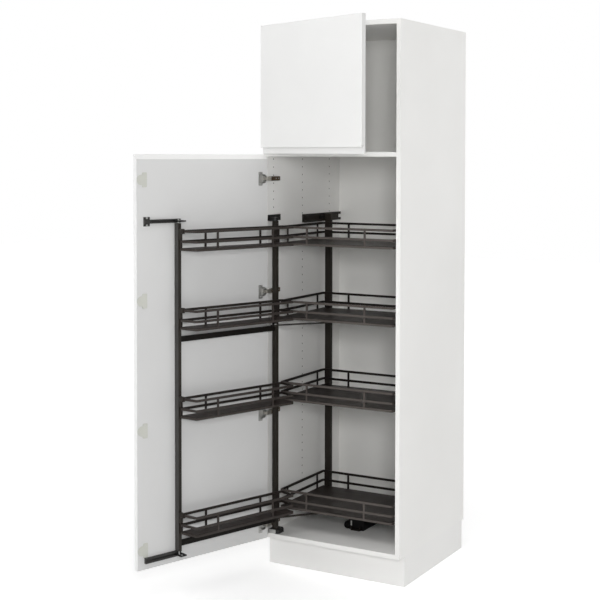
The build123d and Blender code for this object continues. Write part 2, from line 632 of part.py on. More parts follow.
def hinge_arm(height):
    """Goose-neck arm from the hinge pin round to the inside of the side panel."""
    span = around(height, ARM_HALF_HEIGHT)
    far = ARM_NEAR + ARM_THICKNESS
    eye = upright(HINGE_X, HINGE_Y, span, ARM_EYE_RADIUS)
    neck_y = (HINGE_Y - ARM_EYE_RADIUS, HINGE_Y - ARM_NECK_UNDER_AXIS)
    neck = block((HINGE_X, far), neck_y, span)
    leg = block((ARM_NEAR, far), (neck_y[0], FRONT + ARM_LENGTH), around(height, ARM_LEG_HALF_HEIGHT))
    pin_hole = upright(HINGE_X, HINGE_Y, span, HINGE_PIN_RADIUS + HINGE_PRESS_CLEARANCE)
    return eye + neck + leg - pin_hole


def hinge_plate(height):
    """Mounting plate between the arm and the side panel."""
    plate_depth = (PLATE_START, PLATE_START + PLATE_LENGTH)
    return block((WALL_LEFT, ARM_NEAR), plate_depth, around(height, PLATE_HALF_HEIGHT))


def flange(x, height, thickness, away):
    """Round flange with two wings on the back of a closed door; away is the wings' side of it, in X."""
    wings = Pos(away * FLANGE_WING_OFFSET, 0) * RectangleRounded(FLANGE_WING_WIDTH, FLANGE_WING_HEIGHT,
                                                                 FLANGE_CORNER)
    return on_door_back(x, DOOR_BACK, height) * extrude(Circle(FLANGE_RADIUS) + wings, thickness)


def hinge_cup(height):
    bottom = DOOR_BACK - CUP_DEPTH
    shell = bar_along_y(CUP_X, (bottom, DOOR_BACK + FLANGE_THICKNESS), height, CUP_RADIUS)
    shell += flange(CUP_X, height, FLANGE_THICKNESS, 1)
    hollow_span = (bottom + CUP_FLOOR, DOOR_BACK + 2 * FLANGE_THICKNESS)
    hollow = bar_along_y(CUP_X, hollow_span, height, CUP_RADIUS - CUP_WALL)
    lugs = []
    for side in (-1, 1):
        near = ARM_HALF_HEIGHT + LUG_GAP
        span = sorted((height + side * near, height + side * (near + LUG_LENGTH)))
        lug = block(around(HINGE_X, LUG_HALF_WIDTH), (bottom, HINGE_Y + LUG_TOP), span)
        lugs.append(lug & bar_along_y(CUP_X, (bottom, DOOR_BACK), height, CUP_RADIUS))
    reach = ARM_HALF_HEIGHT + LUG_GAP + LUG_LENGTH
    bore = upright(HINGE_X, HINGE_Y, around(height, reach), HINGE_PIN_RADIUS + HINGE_RUNNING_CLEARANCE)
    return (shell - hollow) + lugs[0] + lugs[1] - bore


def hinge_pin(height):
    reach = ARM_HALF_HEIGHT + LUG_GAP + LUG_LENGTH
    return upright(HINGE_X, HINGE_Y, around(height, reach), HINGE_PIN_RADIUS)


def cup_bore(x, height):
    return bar_along_y(x, (DOOR_BACK - CUP_DEPTH, DOOR_BACK), height, CUP_RADIUS + CUP_BORE_CLEARANCE)


def cover_cap(height):
    """Cap over a spare hinge bore, with a plug that fills its mouth."""
    plate = flange(CAP_X, height, CAP_THICKNESS, -1)
    return plate + bar_along_y(CAP_X, (DOOR_BACK - CAP_PLUG_DEPTH, DOOR_BACK), height, CUP_RADIUS)


def hinges():
    recess = ARM_NEAR - WALL_LEFT - PLATE_SCREW_SEAT
    plate_holes = [screw_hole(place) for place in HINGE_PLATE_SCREWS]
    plate_holes += [screw_recess(place, recess) for place in HINGE_PLATE_SCREWS]
    plates = [cut_all(hinge_plate(height), plate_holes) for height in HINGE_HEIGHTS]
    lower_holes = [screw_hole(place) for place in LOWER_CUP_SCREWS]
    lower_cups = [cut_all(hinge_cup(height), lower_holes) for height in LOWER_HINGE_HEIGHTS]
    upper_holes = [screw_hole(place) for place in UPPER_CUP_SCREWS]
    upper_cups = [cut_all(hinge_cup(height), upper_holes) for height in UPPER_HINGE_HEIGHTS]
    return {
        "hinge_plates": Compound(children=plates),
        "hinge_arms": Compound(children=[hinge_arm(height) for height in HINGE_HEIGHTS]),
        "hinge_pins": Compound(children=[hinge_pin(height) for height in HINGE_HEIGHTS]),
        "lower_hinge_cups": Compound(children=[with_lower_door(cup) for cup in lower_cups]),
        "upper_hinge_cups": Compound(children=[with_upper_door(cup) for cup in upper_cups]),
    }


def door_panel(profile):
    """Door blank from its upright (y, z) profile, with eased upright edges."""
    face = make_face(Polyline(*[(DOOR_LEFT, y, z) for y, z in profile], close=True))
    blank = extrude(face, amount=DOOR_RIGHT - DOOR_LEFT, dir=(1, 0, 0))
    faces = (round(DOOR_FACE, 3), round(DOOR_BACK, 3))
    corners = [edge for edge in blank.edges().filter_by(Axis.Z) if round(edge.center().Y, 3) in faces]
    return fillet(corners, DOOR_EDGE_RADIUS)


def lower_door():
    panel = door_panel([
        (DOOR_FACE, LOWER_DOOR_BOTTOM),
        (DOOR_FACE, LOWER_DOOR_TOP),
        (DOOR_FACE + LOWER_GRIP_LIP, LOWER_DOOR_TOP),
        (DOOR_BACK, LOWER_DOOR_TOP - LOWER_GRIP_BEVEL),
        (DOOR_BACK, LOWER_DOOR_BOTTOM),
    ])
    bores = [cup_bore(CUP_X, height) for height in LOWER_HINGE_HEIGHTS]
    bores += [cup_bore(CAP_X, height) for height in CAP_HEIGHTS]
    panel = cut_all(panel, bores + [screw_hole(place) for place in LOWER_CUP_SCREWS + GUIDE_SCREWS])
    return {
        "lower_door_panel": with_lower_door(panel),
        "cover_caps": Compound(children=[with_lower_door(cover_cap(height)) for height in CAP_HEIGHTS]),
    }


def upper_door():
    grip = UPPER_DOOR_BOTTOM + UPPER_GRIP_HEIGHT
    tail = DOOR_BACK - UPPER_GRIP_TAIL
    lip = DOOR_FACE + UPPER_GRIP_LIP
    panel = door_panel([
        (DOOR_FACE, grip),
        (DOOR_FACE, UPPER_DOOR_TOP),
        (DOOR_BACK, UPPER_DOOR_TOP),
        (DOOR_BACK, UPPER_DOOR_BOTTOM),
        (tail, UPPER_DOOR_BOTTOM),
        (tail, grip + UPPER_GRIP_UNDERCUT),
        (lip, grip + UPPER_GRIP_UNDERCUT),
        (lip, grip),
    ])
    bores = [cup_bore(CUP_X, height) for height in UPPER_HINGE_HEIGHTS]
    panel = cut_all(panel, bores + [screw_hole(place) for place in UPPER_CUP_SCREWS])
    return {"upper_door_panel": with_upper_door(panel)}


def guide_rail(bottom, height):
    """Channel on the door's back, open towards the cabinet, with a solid end block for its screws."""
    span = (bottom, bottom + height)
    middle = bottom + height / 2
    outside = (DOOR_BACK, DOOR_BACK + GUIDE_DEPTH)
    body = block((GUIDE_LEFT, GUIDE_RIGHT), outside, span)
    inside = block((GUIDE_LEFT - GUIDE_WALL, GUIDE_BLOCK_LEFT),
                   (DOOR_BACK + GUIDE_WALL, DOOR_BACK + GUIDE_DEPTH - GUIDE_WALL),
                   (span[0] + GUIDE_WALL, span[1] - GUIDE_WALL))
    slot = block((GUIDE_LEFT - GUIDE_WALL, GUIDE_BLOCK_LEFT),
                 (DOOR_BACK + GUIDE_WALL, DOOR_BACK + 2 * GUIDE_DEPTH), around(middle, GUIDE_SLOT / 2))
    return body - inside - slot


def guide_shoe(bottom, height):
    """Sliding shoe in a door guide, with a slotted tongue for the outer post's pin."""
    middle = bottom + height / 2
    head_half = height / 2 - GUIDE_WALL - SHOE_CLEARANCE
    inset = GUIDE_WALL + SHOE_CLEARANCE
    head_y = (DOOR_BACK + inset, DOOR_BACK + GUIDE_DEPTH - inset)
    head = block(around(OUTER_X, SHOE_LENGTH / 2), head_y, around(middle, head_half))
    tongue_y = (head_y[0], DOOR_BACK + TONGUE_REACH)
    tongue_half = GUIDE_SLOT / 2 - SHOE_CLEARANCE
    tongue = block(around(OUTER_X, SHOE_LENGTH / 2), tongue_y, around(middle, tongue_half))
    slot_y = (DOOR_BACK + TONGUE_SLOT_START, DOOR_BACK + TONGUE_REACH - GUIDE_PIN_RADIUS)
    slot_half = GUIDE_PIN_RADIUS + GUIDE_PIN_SIDE_PLAY
    slot = block(around(OUTER_X, slot_half), slot_y, around(middle, height))
    return head + tongue - slot


def guides():
    top_plate = block((GUIDE_BLOCK_LEFT, GUIDE_RIGHT), (DOOR_BACK, DOOR_BACK + TOP_GUIDE_PLATE),
                      around(TOP_GUIDE_BOTTOM + TOP_GUIDE_HEIGHT / 2, TOP_GUIDE_PLATE_HEIGHT / 2))
    top_rail, bottom_rail = [guide_rail(*heights) for heights in GUIDE_HEIGHTS]
    holes = [screw_hole(place) for place in GUIDE_SCREWS]
    shoes = [with_shoe(guide_shoe(*heights)) for heights in GUIDE_HEIGHTS]
    return {
        "door_guide_top": with_lower_door(cut_all(top_rail + top_plate, holes)),
        "door_guide_bottom": with_lower_door(cut_all(bottom_rail, holes)),
        "guide_shoes": Compound(children=shoes),
    }


def door_screws():
    lower = [with_lower_door(screw(place)) for place in LOWER_CUP_SCREWS + GUIDE_SCREWS]
    upper = [with_upper_door(screw(place)) for place in UPPER_CUP_SCREWS]
    return {
        "lower_door_screws": Compound(children=lower),
        "upper_door_screws": Compound(children=upper),
    }


def brackets():
    """Fixed brackets and pins that the swing frame's inner post turns on."""
    boss_top = PIVOT_POST_BOTTOM - PIVOT_END_GAP
    plate_top = FLOOR_TOP + FOOT_BRACKET_THICKNESS
    foot = block((FOOT_BRACKET_LEFT, FOOT_BRACKET_LEFT + FOOT_BRACKET_WIDTH),
                 (FOOT_BRACKET_FRONT, FOOT_BRACKET_FRONT + FOOT_BRACKET_DEPTH), (FLOOR_TOP, plate_top))
    foot = chamfer(foot.edges().filter_by(Axis.Z).group_by(Axis.X)[-1], FOOT_BRACKET_CHAMFER)
    foot += upright(PIVOT_X, PIVOT_Y, (FLOOR_TOP, boss_top), FOOT_BRACKET_BOSS)
    head_span = (HEAD_BRACKET_BOTTOM, HEAD_BRACKET_BOTTOM + HEAD_BRACKET_HEIGHT)
    arm_span = (HEAD_BRACKET_BOTTOM, HEAD_BRACKET_BOTTOM + HEAD_BRACKET_ARM_THICKNESS)
    head_depth = (PIVOT_Y - HEAD_BRACKET_ARM_RADIUS, PIVOT_Y + HEAD_BRACKET_LENGTH)
    head = block((WALL_LEFT, WALL_LEFT + HEAD_BRACKET_PLATE), head_depth, head_span)
    arm = block((WALL_LEFT, PIVOT_X), around(PIVOT_Y, HEAD_BRACKET_ARM_RADIUS), arm_span)
    head += arm + upright(PIVOT_X, PIVOT_Y, arm_span, HEAD_BRACKET_ARM_RADIUS)
    low_pin_span = (FLOOR_TOP + FOOT_BRACKET_SEAT, PIVOT_POST_BOTTOM + PIVOT_PIN_LENGTH)
    high_pin_span = (PIVOT_POST_TOP - PIVOT_PIN_LENGTH, arm_span[1])
    press = PIVOT_PIN_RADIUS + HINGE_PRESS_CLEARANCE
    foot -= upright(PIVOT_X, PIVOT_Y, low_pin_span, press)
    head -= upright(PIVOT_X, PIVOT_Y, high_pin_span, press)
    pins = [upright(PIVOT_X, PIVOT_Y, span, PIVOT_PIN_RADIUS) for span in (low_pin_span, high_pin_span)]
    recess = FOOT_BRACKET_THICKNESS - FOOT_BRACKET_SEAT
    foot_holes = [screw_hole(place) for place in FOOT_BRACKET_SCREWS]
    foot_holes += [screw_recess(place, recess) for place in FOOT_BRACKET_SCREWS]
    return {
        "pivot_bracket_foot": cut_all(foot, foot_holes),
        "pivot_bracket_head": cut_all(head, [screw_hole(place) for place in HEAD_BRACKET_SCREWS]),
        "pivot_pins": Compound(children=pins),
    }


def runners():
    """Fixed rails of the inner frame: one on the side panel, one on the floor panel."""
    y = TOP_RUNNER_SPAN
    z = (TOP_RUNNER_BOTTOM, TOP_RUNNER_BOTTOM + TOP_RUNNER_HEIGHT)
    middle = (z[0] + z[1]) / 2
    x = (WALL_LEFT, WALL_LEFT + TOP_RUNNER_DEPTH)
    top = block(x, y, z)
    through = (y[0] - BOARD, y[1] + BOARD)
    hollow_z = (z[0] + RUNNER_WALL, z[1] - RUNNER_WALL)
    top -= block((x[0] + RUNNER_WALL, x[1] - RUNNER_WALL), through, hollow_z)
    top -= block((x[0] + RUNNER_WALL, x[1] + BOARD), through, around(middle, RUNNER_SLOT / 2))
    y = FLOOR_RUNNER_SPAN
    x = around(FLOOR_RUNNER_CENTRE, FLOOR_RUNNER_WIDTH / 2)
    floor = block(x, y, (FLOOR_TOP, FLOOR_TOP + FLOOR_RUNNER_HEIGHT))
    hollow_x = around(FLOOR_RUNNER_CENTRE, FLOOR_RUNNER_WIDTH / 2 - RUNNER_WALL)
    floor -= block(hollow_x, (y[0] - BOARD, y[1] + BOARD),
                   (FLOOR_TOP + RUNNER_WALL, FLOOR_TOP + 2 * FLOOR_RUNNER_HEIGHT))
    return {
        "top_runner": cut_all(top, [screw_hole(place) for place in TOP_RUNNER_SCREWS]),
        "floor_runner": cut_all(floor, [screw_hole(place) for place in FLOOR_RUNNER_SCREWS]),
    }


def carcass_screws():
    places = WALL_SCREWS + FLOOR_SCREWS
    return {"carcass_screws": Compound(children=[screw(place) for place in places])}


def plan(corners, inset):
    """Flat face through (x, y) corners, drawn in by an inset, with round corners."""
    face = make_face(Polyline(*corners, close=True))
    if inset:
        face = offset(face, amount=-inset, kind=Kind.INTERSECTION)
    return fillet(face.vertices(), BASKET_CORNER - inset)


def loop(corners, bottom):
    """Flat-bar loop whose outside runs through the corners."""
    return Pos(0, 0, bottom) * extrude(plan(corners, 0) - plan(corners, RAIL_THICKNESS), RAIL_HEIGHT)


def basket(corners, bottom, stays_from_ends, plates):
    """Flat-bar basket on four (x, y) corners, two sides along X, joined to its post plates."""
    x = (min(x for x, y in corners), max(x for x, y in corners))
    y = (min(y for x, y in corners), max(y for x, y in corners))
    rails = [bottom + MID_RAIL_ABOVE_TRAY - RAIL_HEIGHT / 2, bottom + TOP_RAIL_ABOVE_TRAY - RAIL_HEIGHT / 2]
    frame = loop(corners, bottom)
    for rail in rails:
        frame += loop(corners, rail)
    stay_span = (bottom + RAIL_HEIGHT / 2, rails[-1] + RAIL_HEIGHT / 2)
    inset = RAIL_THICKNESS / 2
    for stay_x in (x[0] + stays_from_ends[0], x[1] - stays_from_ends[1]):
        for stay_y in (y[0] + inset, y[1] - inset):
            frame += block(around(stay_x, STAY_WIDTH / 2), around(stay_y, STAY_THICKNESS / 2), stay_span)
        frame += block(around(stay_x, TRAY_BEARER_WIDTH / 2), (y[0] + inset, y[1] - inset),
                       (bottom, bottom + TRAY_BEARER_THICKNESS))
    if y[1] - y[0] > SIDE_STAY_SPACING + STAY_WIDTH:
        for stay_y in around((y[0] + y[1]) / 2, SIDE_STAY_SPACING / 2):
            for stay_x in (x[0] + inset, x[1] - inset):
                frame += block(around(stay_x, STAY_THICKNESS / 2), around(stay_y, STAY_WIDTH / 2), stay_span)
    return frame + plates


def tray_board(corners, bottom):
    """Laminate board inside a basket's rim, on its bearers."""
    face = plan(corners, RAIL_THICKNESS + TRAY_BOARD_CLEARANCE)
    return Pos(0, 0, bottom + TRAY_BEARER_THICKNESS) * extrude(face, TRAY_BOARD)


def swing_frame():
    """Two posts, cross bars and four narrow baskets that swing out with the lower door."""
    post_y = (PIVOT_Y - POST_DOOR_SIDE, PIVOT_Y + POST_TRAY_SIDE)
    pivot_post = block(around(PIVOT_X, POST_HALF), post_y, (PIVOT_POST_BOTTOM, PIVOT_POST_TOP))
    bore = PIVOT_PIN_RADIUS + PIVOT_PIN_CLEARANCE
    for end in (PIVOT_POST_BOTTOM, PIVOT_POST_TOP):
        pivot_post -= upright(PIVOT_X, PIVOT_Y, around(end, PIVOT_PIN_LENGTH + PIVOT_END_GAP), bore)
    outer_post = block(around(OUTER_X, POST_HALF), post_y, (OUTER_POST_BOTTOM, OUTER_POST_TOP))
    reach = GUIDE_SLOT / 2 + GUIDE_PIN_PAST_TONGUE
    pin_spans = (
        (OUTER_POST_TOP, TOP_GUIDE_MIDDLE + reach),
        (BOTTOM_GUIDE_MIDDLE - reach, OUTER_POST_BOTTOM),
    )
    guide_pins = [upright(OUTER_X, PIVOT_Y + GUIDE_PIN_OUT, span, GUIDE_PIN_RADIUS) for span in pin_spans]
    nodes = {
        "pivot_post": with_swing_frame(pivot_post),
        "outer_post": with_swing_frame(outer_post),
        "guide_pins": Compound(children=[with_swing_frame(pin) for pin in guide_pins]),
    }
    bar_x = (PIVOT_X + POST_HALF, OUTER_X - POST_HALF)
    bars = []
    for height in LINKED_TRAY_HEIGHTS:
        bar_top = height - CROSS_BAR_UNDER_TRAY
        bar = block(bar_x, around(PIVOT_Y, CROSS_BAR_DEPTH / 2), (bar_top - CROSS_BAR_HEIGHT, bar_top))
        bars.append(with_swing_frame(bar))
    nodes["cross_bars"] = Compound(children=bars)
    near_y = TRAY_SIDE_FACE + BASKET_PLATE
    x = (PIVOT_X - OUTER_BASKET_PAST_PIVOT, OUTER_X + OUTER_BASKET_PAST_POST)
    corners = [
        (x[0], near_y),
        (x[1], near_y),
        (x[1] - OUTER_BASKET_POST_TAPER, near_y + OUTER_BASKET_DEPTH),
        (x[0] + OUTER_BASKET_PIVOT_TAPER, near_y + OUTER_BASKET_DEPTH),
    ]
    plate_y = (TRAY_SIDE_FACE, near_y + RAIL_THICKNESS)
    for number, bottom in enumerate(DOOR_TRAY_HEIGHTS, start=1):
        plate_z = (bottom, bottom + TOP_RAIL_ABOVE_TRAY + RAIL_HEIGHT / 2)
        plates = [
            block(around(PIVOT_X, BASKET_PLATE_WIDTH / 2), plate_y, plate_z),
            block((OUTER_X - POST_HALF, OUTER_X), plate_y, plate_z),
        ]
        nodes[f"door_basket_{number}"] = with_swing_frame(
            basket(corners, bottom, DOOR_STAYS_FROM_ENDS, plates))
        nodes[f"door_tray_{number}"] = with_swing_frame(tray_board(corners, bottom))
    return nodes


def link_eye_place(height):
    """Crank point of the closed swing frame under one tray: x, y and the crank plate's underside."""
    return PIVOT_X + CRANK_ALONG, PIVOT_Y + CRANK_OUT, height - CROSS_BAR_UNDER_TRAY


def links():
    """Crank plates on the swing frame, links, their bolts, and slotted brackets under the inner trays."""
    cranks, rods, bolts, brackets_ = [], [], [], []
    for height in LINKED_TRAY_HEIGHTS:
        x, y, low = link_eye_place(height)
        root = (PIVOT_X + POST_HALF + CRANK_EYE_RADIUS, PIVOT_Y)
        discs = [(*root, CROSS_BAR_DEPTH / 2), (x, y, CRANK_EYE_RADIUS)]
        plate = Pos(0, 0, low) * hull_plate(discs, CRANK_PLATE)
        post_depth = (PIVOT_Y - POST_DOOR_SIDE, TRAY_SIDE_FACE)
        post_space = block(around(PIVOT_X, POST_HALF), post_depth, around(low, BOARD))
        bolt_top = low + CRANK_PLATE + LINK_GAP + LINK_THICKNESS + LINK_GAP
        hole = upright(x, y, around(low, BOARD), LINK_PIN_RADIUS + HINGE_PRESS_CLEARANCE)
        cranks.append(plate - post_space - hole)
        shank = upright(x, y, (low, bolt_top), LINK_PIN_RADIUS)
        head = upright(x, y, (bolt_top, bolt_top + LINK_BOLT_HEAD_HEIGHT), LINK_BOLT_HEAD_RADIUS)
        bolts.append(shank + head)
        rod_low = low + CRANK_PLATE + LINK_GAP
        rod = Pos(x, y, rod_low) * Rot(0, 0, LINK_ANGLE) * hull_plate(
            [(0, 0, LINK_WIDTH / 2), (LINK_LENGTH, 0, LINK_WIDTH / 2)], LINK_THICKNESS)
        rod -= upright(x, y, around(rod_low, BOARD), LINK_PIN_RADIUS + LINK_PIN_CLEARANCE)
        pin_span = (rod_low, rod_low + LINK_THICKNESS + LINK_PIN_STAND)
        rod += upright(LINK_END_X, LINK_END_Y, pin_span, LINK_PIN_RADIUS)
        rods.append(rod)
        plate_low = rod_low + LINK_THICKNESS + LINK_BRACKET_GAP
        plate_z = (plate_low, plate_low + LINK_BRACKET_THICKNESS)
        centre_x = LINK_END_X + LINK_SIDE_PLAY / 2
        bracket_y = around(LINK_END_Y, LINK_BRACKET_DEPTH / 2)
        plate = block(around(centre_x, LINK_BRACKET_WIDTH / 2), bracket_y, plate_z)
        play = (LINK_PIN_RADIUS + LINK_SIDE_PLAY / 2 + LINK_END_PLAY, LINK_PIN_RADIUS + LINK_END_PLAY)
        plate -= block(around(centre_x, play[0]), around(LINK_END_Y, play[1]), around(plate_low, BOARD))
        for side in (-1, 1):
            outer = centre_x + side * LINK_BRACKET_WIDTH / 2
            foot = sorted((outer, outer - side * LINK_BRACKET_FOOT))
            plate += block(foot, bracket_y, (plate_low, height + TRAY_BEARER_THICKNESS))
        brackets_.append(plate)
    return {
        "crank_plates": Compound(children=[with_swing_frame(piece) for piece in cranks]),
        "link_bolts": Compound(children=[with_swing_frame(piece) for piece in bolts]),
        "link_rods": Compound(children=[with_link(piece) for piece in rods]),
        "link_brackets": Compound(children=[with_inner_frame(piece) for piece in brackets_]),
    }


def inner_frame():
    """Single post, two carriages and four deep baskets that slide forward inside the cabinet."""
    corners = [
        (INNER_LEFT, INNER_FRONT),
        (INNER_RIGHT, INNER_FRONT),
        (INNER_RIGHT, INNER_BACK),
        (INNER_LEFT, INNER_BACK),
    ]
    post_x = (INNER_POST_LEFT, INNER_POST_LEFT + INNER_POST_WIDTH)
    post_y = (INNER_POST_FRONT, INNER_POST_FRONT + INNER_POST_DEPTH)
    post = block(post_x, post_y, (INNER_POST_BOTTOM, INNER_POST_TOP))
    middle_z = TOP_RUNNER_BOTTOM + TOP_RUNNER_HEIGHT / 2
    inner_y = around(INNER_POST_FRONT + INNER_POST_DEPTH / 2, TOP_CARRIAGE_LENGTH / 2)
    gap = RUNNER_WALL + RUNNER_CLEARANCE
    head_x = (WALL_LEFT + gap, WALL_LEFT + TOP_RUNNER_DEPTH - gap)
    carriage = block(head_x, inner_y, around(middle_z, TOP_RUNNER_HEIGHT / 2 - gap))
    neck_z = around(middle_z, RUNNER_SLOT / 2 - RUNNER_CLEARANCE)
    carriage += block((head_x[0], INNER_POST_LEFT), inner_y, neck_z)
    floor_y = (FRONT + FLOOR_CARRIAGE_START + INNER_TRAVEL,
               FRONT + FLOOR_CARRIAGE_START + INNER_TRAVEL + FLOOR_CARRIAGE_LENGTH)
    ground = FLOOR_TOP + FLOOR_CARRIAGE_GROUND_GAP
    house = block(around(FLOOR_RUNNER_CENTRE, FLOOR_CARRIAGE_WIDTH / 2), floor_y,
                  (ground, TRAY_HEIGHTS[-1] + TRAY_BEARER_THICKNESS))
    rail_half = FLOOR_RUNNER_WIDTH / 2 + RUNNER_CLEARANCE
    house -= block(around(FLOOR_RUNNER_CENTRE, rail_half), (floor_y[0] - BOARD, floor_y[1] + BOARD),
                   (FLOOR_TOP, FLOOR_TOP + FLOOR_RUNNER_HEIGHT + RUNNER_CLEARANCE))
    keel_half = FLOOR_RUNNER_WIDTH / 2 - RUNNER_WALL - RUNNER_CLEARANCE
    keel_low = FLOOR_TOP + RUNNER_WALL + SCREW_HEAD_HEIGHT + RUNNER_CLEARANCE
    keel_z = (keel_low, FLOOR_TOP + 2 * FLOOR_RUNNER_HEIGHT)
    house += block(around(FLOOR_RUNNER_CENTRE, keel_half), floor_y, keel_z)
    nose_x = FLOOR_RUNNER_CENTRE - FLOOR_CARRIAGE_WIDTH / 2 - FLOOR_CARRIAGE_NOSE_RADIUS / 2
    nose_z = ground + FLOOR_CARRIAGE_NOSE_RADIUS
    nose_y = (floor_y[0], floor_y[0] + FLOOR_CARRIAGE_NOSE_LENGTH)
    house += bar_along_y(nose_x, nose_y, nose_z, FLOOR_CARRIAGE_NOSE_RADIUS)
    nodes = {
        "inner_post": with_inner_frame(post),
        "top_carriage": with_inner_frame(carriage),
        "floor_carriage": with_inner_frame(house),
    }
    plate_y = (INNER_BACK - RAIL_THICKNESS, INNER_POST_FRONT)
    plate_x = around((post_x[0] + post_x[1]) / 2, BASKET_PLATE_WIDTH)
    for number, bottom in enumerate(TRAY_HEIGHTS, start=1):
        plate = block(plate_x, plate_y, (bottom, bottom + TOP_RAIL_ABOVE_TRAY + RAIL_HEIGHT / 2))
        nodes[f"inner_basket_{number}"] = with_inner_frame(
            basket(corners, bottom, INNER_STAYS_FROM_ENDS, [plate]))
        nodes[f"inner_tray_{number}"] = with_inner_frame(tray_board(corners, bottom))
    return nodes


def main():
    nodes = {}
    sections = (
        carcass, plinth_and_legs, hinges, lower_door, upper_door, guides, door_screws,
        brackets, runners, carcass_screws, swing_frame, links, inner_frame,
    )
    for section in sections:
        nodes.update(section())
    for name, shape in nodes.items():
        export_step(shape, f"parts/{name}.step")
    print(len(nodes), "nodes, inner travel", round(INNER_TRAVEL, 3), "shoe travel", round(SHOE_TRAVEL, 3))


main()
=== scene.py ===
"""Looks of the tall swing-out larder cabinet: materials, small details, floor, light and camera."""
from math import cos, radians, sin, tau

import bmesh
import bpy
import numpy
from mathutils import Matrix, Vector


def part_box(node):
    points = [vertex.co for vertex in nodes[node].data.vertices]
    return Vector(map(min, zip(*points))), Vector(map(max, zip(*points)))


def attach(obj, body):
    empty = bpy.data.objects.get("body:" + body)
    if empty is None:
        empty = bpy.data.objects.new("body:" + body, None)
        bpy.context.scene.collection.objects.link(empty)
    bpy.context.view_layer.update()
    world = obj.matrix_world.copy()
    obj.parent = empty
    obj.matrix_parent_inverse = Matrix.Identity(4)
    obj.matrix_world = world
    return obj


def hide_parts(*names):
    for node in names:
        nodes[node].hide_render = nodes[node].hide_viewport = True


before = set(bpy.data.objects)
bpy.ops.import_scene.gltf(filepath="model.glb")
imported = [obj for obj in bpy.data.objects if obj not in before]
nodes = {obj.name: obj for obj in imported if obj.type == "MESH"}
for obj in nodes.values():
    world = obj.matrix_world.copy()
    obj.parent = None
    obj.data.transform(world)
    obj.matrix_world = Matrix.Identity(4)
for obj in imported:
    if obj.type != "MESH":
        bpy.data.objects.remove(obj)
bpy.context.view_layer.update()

# Camera, fitted to the photograph's edges (metres, radians, pixels; the sensor in millimetres)
IMAGE_SIZE = 600
CAMERA_PLACE = (2.34772, -4.16273, 1.6434)
CAMERA_YAW = 0.4959
CAMERA_PITCH = 0.0326
CAMERA_ROLL = 0.0025
FOCAL_PIXELS = 1231.19
CENTRE_PIXEL = (357.5, 195.37)
SENSOR_WIDTH = 36.0

# Open angles of the doors at rest; the swing frame stands square to the lower door
LOWER_DOOR_OPEN = radians(109.2)
UPPER_DOOR_OPEN = radians(20.5)

# Numbers in the names of the baskets and trays on each frame
BASKET_NUMBERS = range(1, 5)

# Shelf-pin holes in the side panels (metres)
PIN_HOLE_RADIUS = 0.0025
PIN_HOLE_PITCH = 0.032
PIN_HOLE_LOWEST = 0.219
PIN_ROWS = (-0.001, 0.223, 0.447)
PANEL_OUTER_FACE = 0.303
# Raw board shows up to these shares of a hole's radius and of the way to the panel's outer face
RAW_BOARD_RADIUS = 1.05
RAW_BOARD_REACH = 0.998

# Hinge arms are bronzed behind this line (metres)
HINGE_COVER_START = -0.031

# Radii that the materials ease edges by (metres), and the samples they take for it
BOARD_EASE = 0.0008
BACK_EASE = 0.0005
PLINTH_EASE = 0.001
DOOR_EASE = 0.0012
COAT_EASE = 0.0012
TRAY_EASE = 0.001
MOULDING_EASE = 0.0012
SHEET_EASE = 0.0008
EASE_SAMPLES = 4

# A face looks along a direction if the cosine between them is above this
FACING_COSINE = 0.95
# A colour's darker mottling is this much below it
MOTTLING_DROP = 0.03

# Screws (metres); the head's outline and its cross recess are shares of the head's radius and height
SCREW_HEAD_RADIUS = 0.004
SCREW_HEAD_HEIGHT = 0.0022
SCREW_SHANK_RADIUS = 0.002
SCREW_SHANK_LENGTH = 0.015
SCREW_TIP_LENGTH = 0.003
SCREW_TIP_SHARE = 0.3  # of the shank's radius
HEAD_OUTLINE = ((1.0, 0.0), (1.0, 0.45), (0.93, 0.78), (0.74, 1.0))
RECESS_REACH = 0.58
RECESS_HALF_WIDTH = 0.14
RECESS_FLOOR = 0.3
ROUND_STEPS = 24
# CAD nodes whose plain screws are replaced, with their material and body
SCREW_NODES = (
    ("lower_door_screws", "zinc", "lower_door"),
    ("upper_door_screws", "zinc", "upper_door"),
    ("carcass_screws", "black_steel", "carcass"),
)
# Corners of a CAD mesh that lie this close are one (metres)
WELD_DISTANCE = 1e-6
# Adjusting screws on each hinge arm, and their places along Y (metres)
ADJUSTER_HEAD_RADIUS = 0.0028
ADJUSTER_HEAD_HEIGHT = 0.0011
ADJUSTER_SHANK_RADIUS = 0.001
ADJUSTER_SHANK_LENGTH = 0.0025
ADJUSTER_PLACES = (0.004, 0.022)

# Swing frame with the door closed (metres): the axis it turns on, and its outer post's tray side
PIVOT_AXIS = Vector((-0.258, -0.032, 0.0))
OUTER_POST_X = 0.204
TRAY_SIDE_FACE = -0.018
# Clips that hold the baskets' top rails to the outer post: (low, high) corners from the rail's upper edge
CLIP_BODY = ((-0.006, 0.0, -0.0135), (0.0062, 0.026, 0.005))
CLIP_HOOK = ((-0.005, 0.0, -0.036), (0.0055, 0.011, -0.012))
CLIP_EASE = 0.0022

# Zinc plate on the front of the foot bracket, and the fittings on the floor carriage's front (metres)
FOOT_PLATE_WIDTH = 0.0335
FOOT_PLATE_THICKNESS = 0.0016
STRAP_SPAN = (-0.0148, -0.0085)
STRAP_HEIGHTS = (0.1515, 0.1715)
STRAP_THICKNESS = 0.0012
ROLLER_CENTRE = (-0.0305, 0.1508)
ROLLER_PROFILE = ((0.0142, 0.0), (0.0142, 0.0015), (0.0122, 0.0035), (0.007, 0.0035), (0.006, 0.0015))
PLATE_EASE = 0.0004
EASE_STEPS = 3

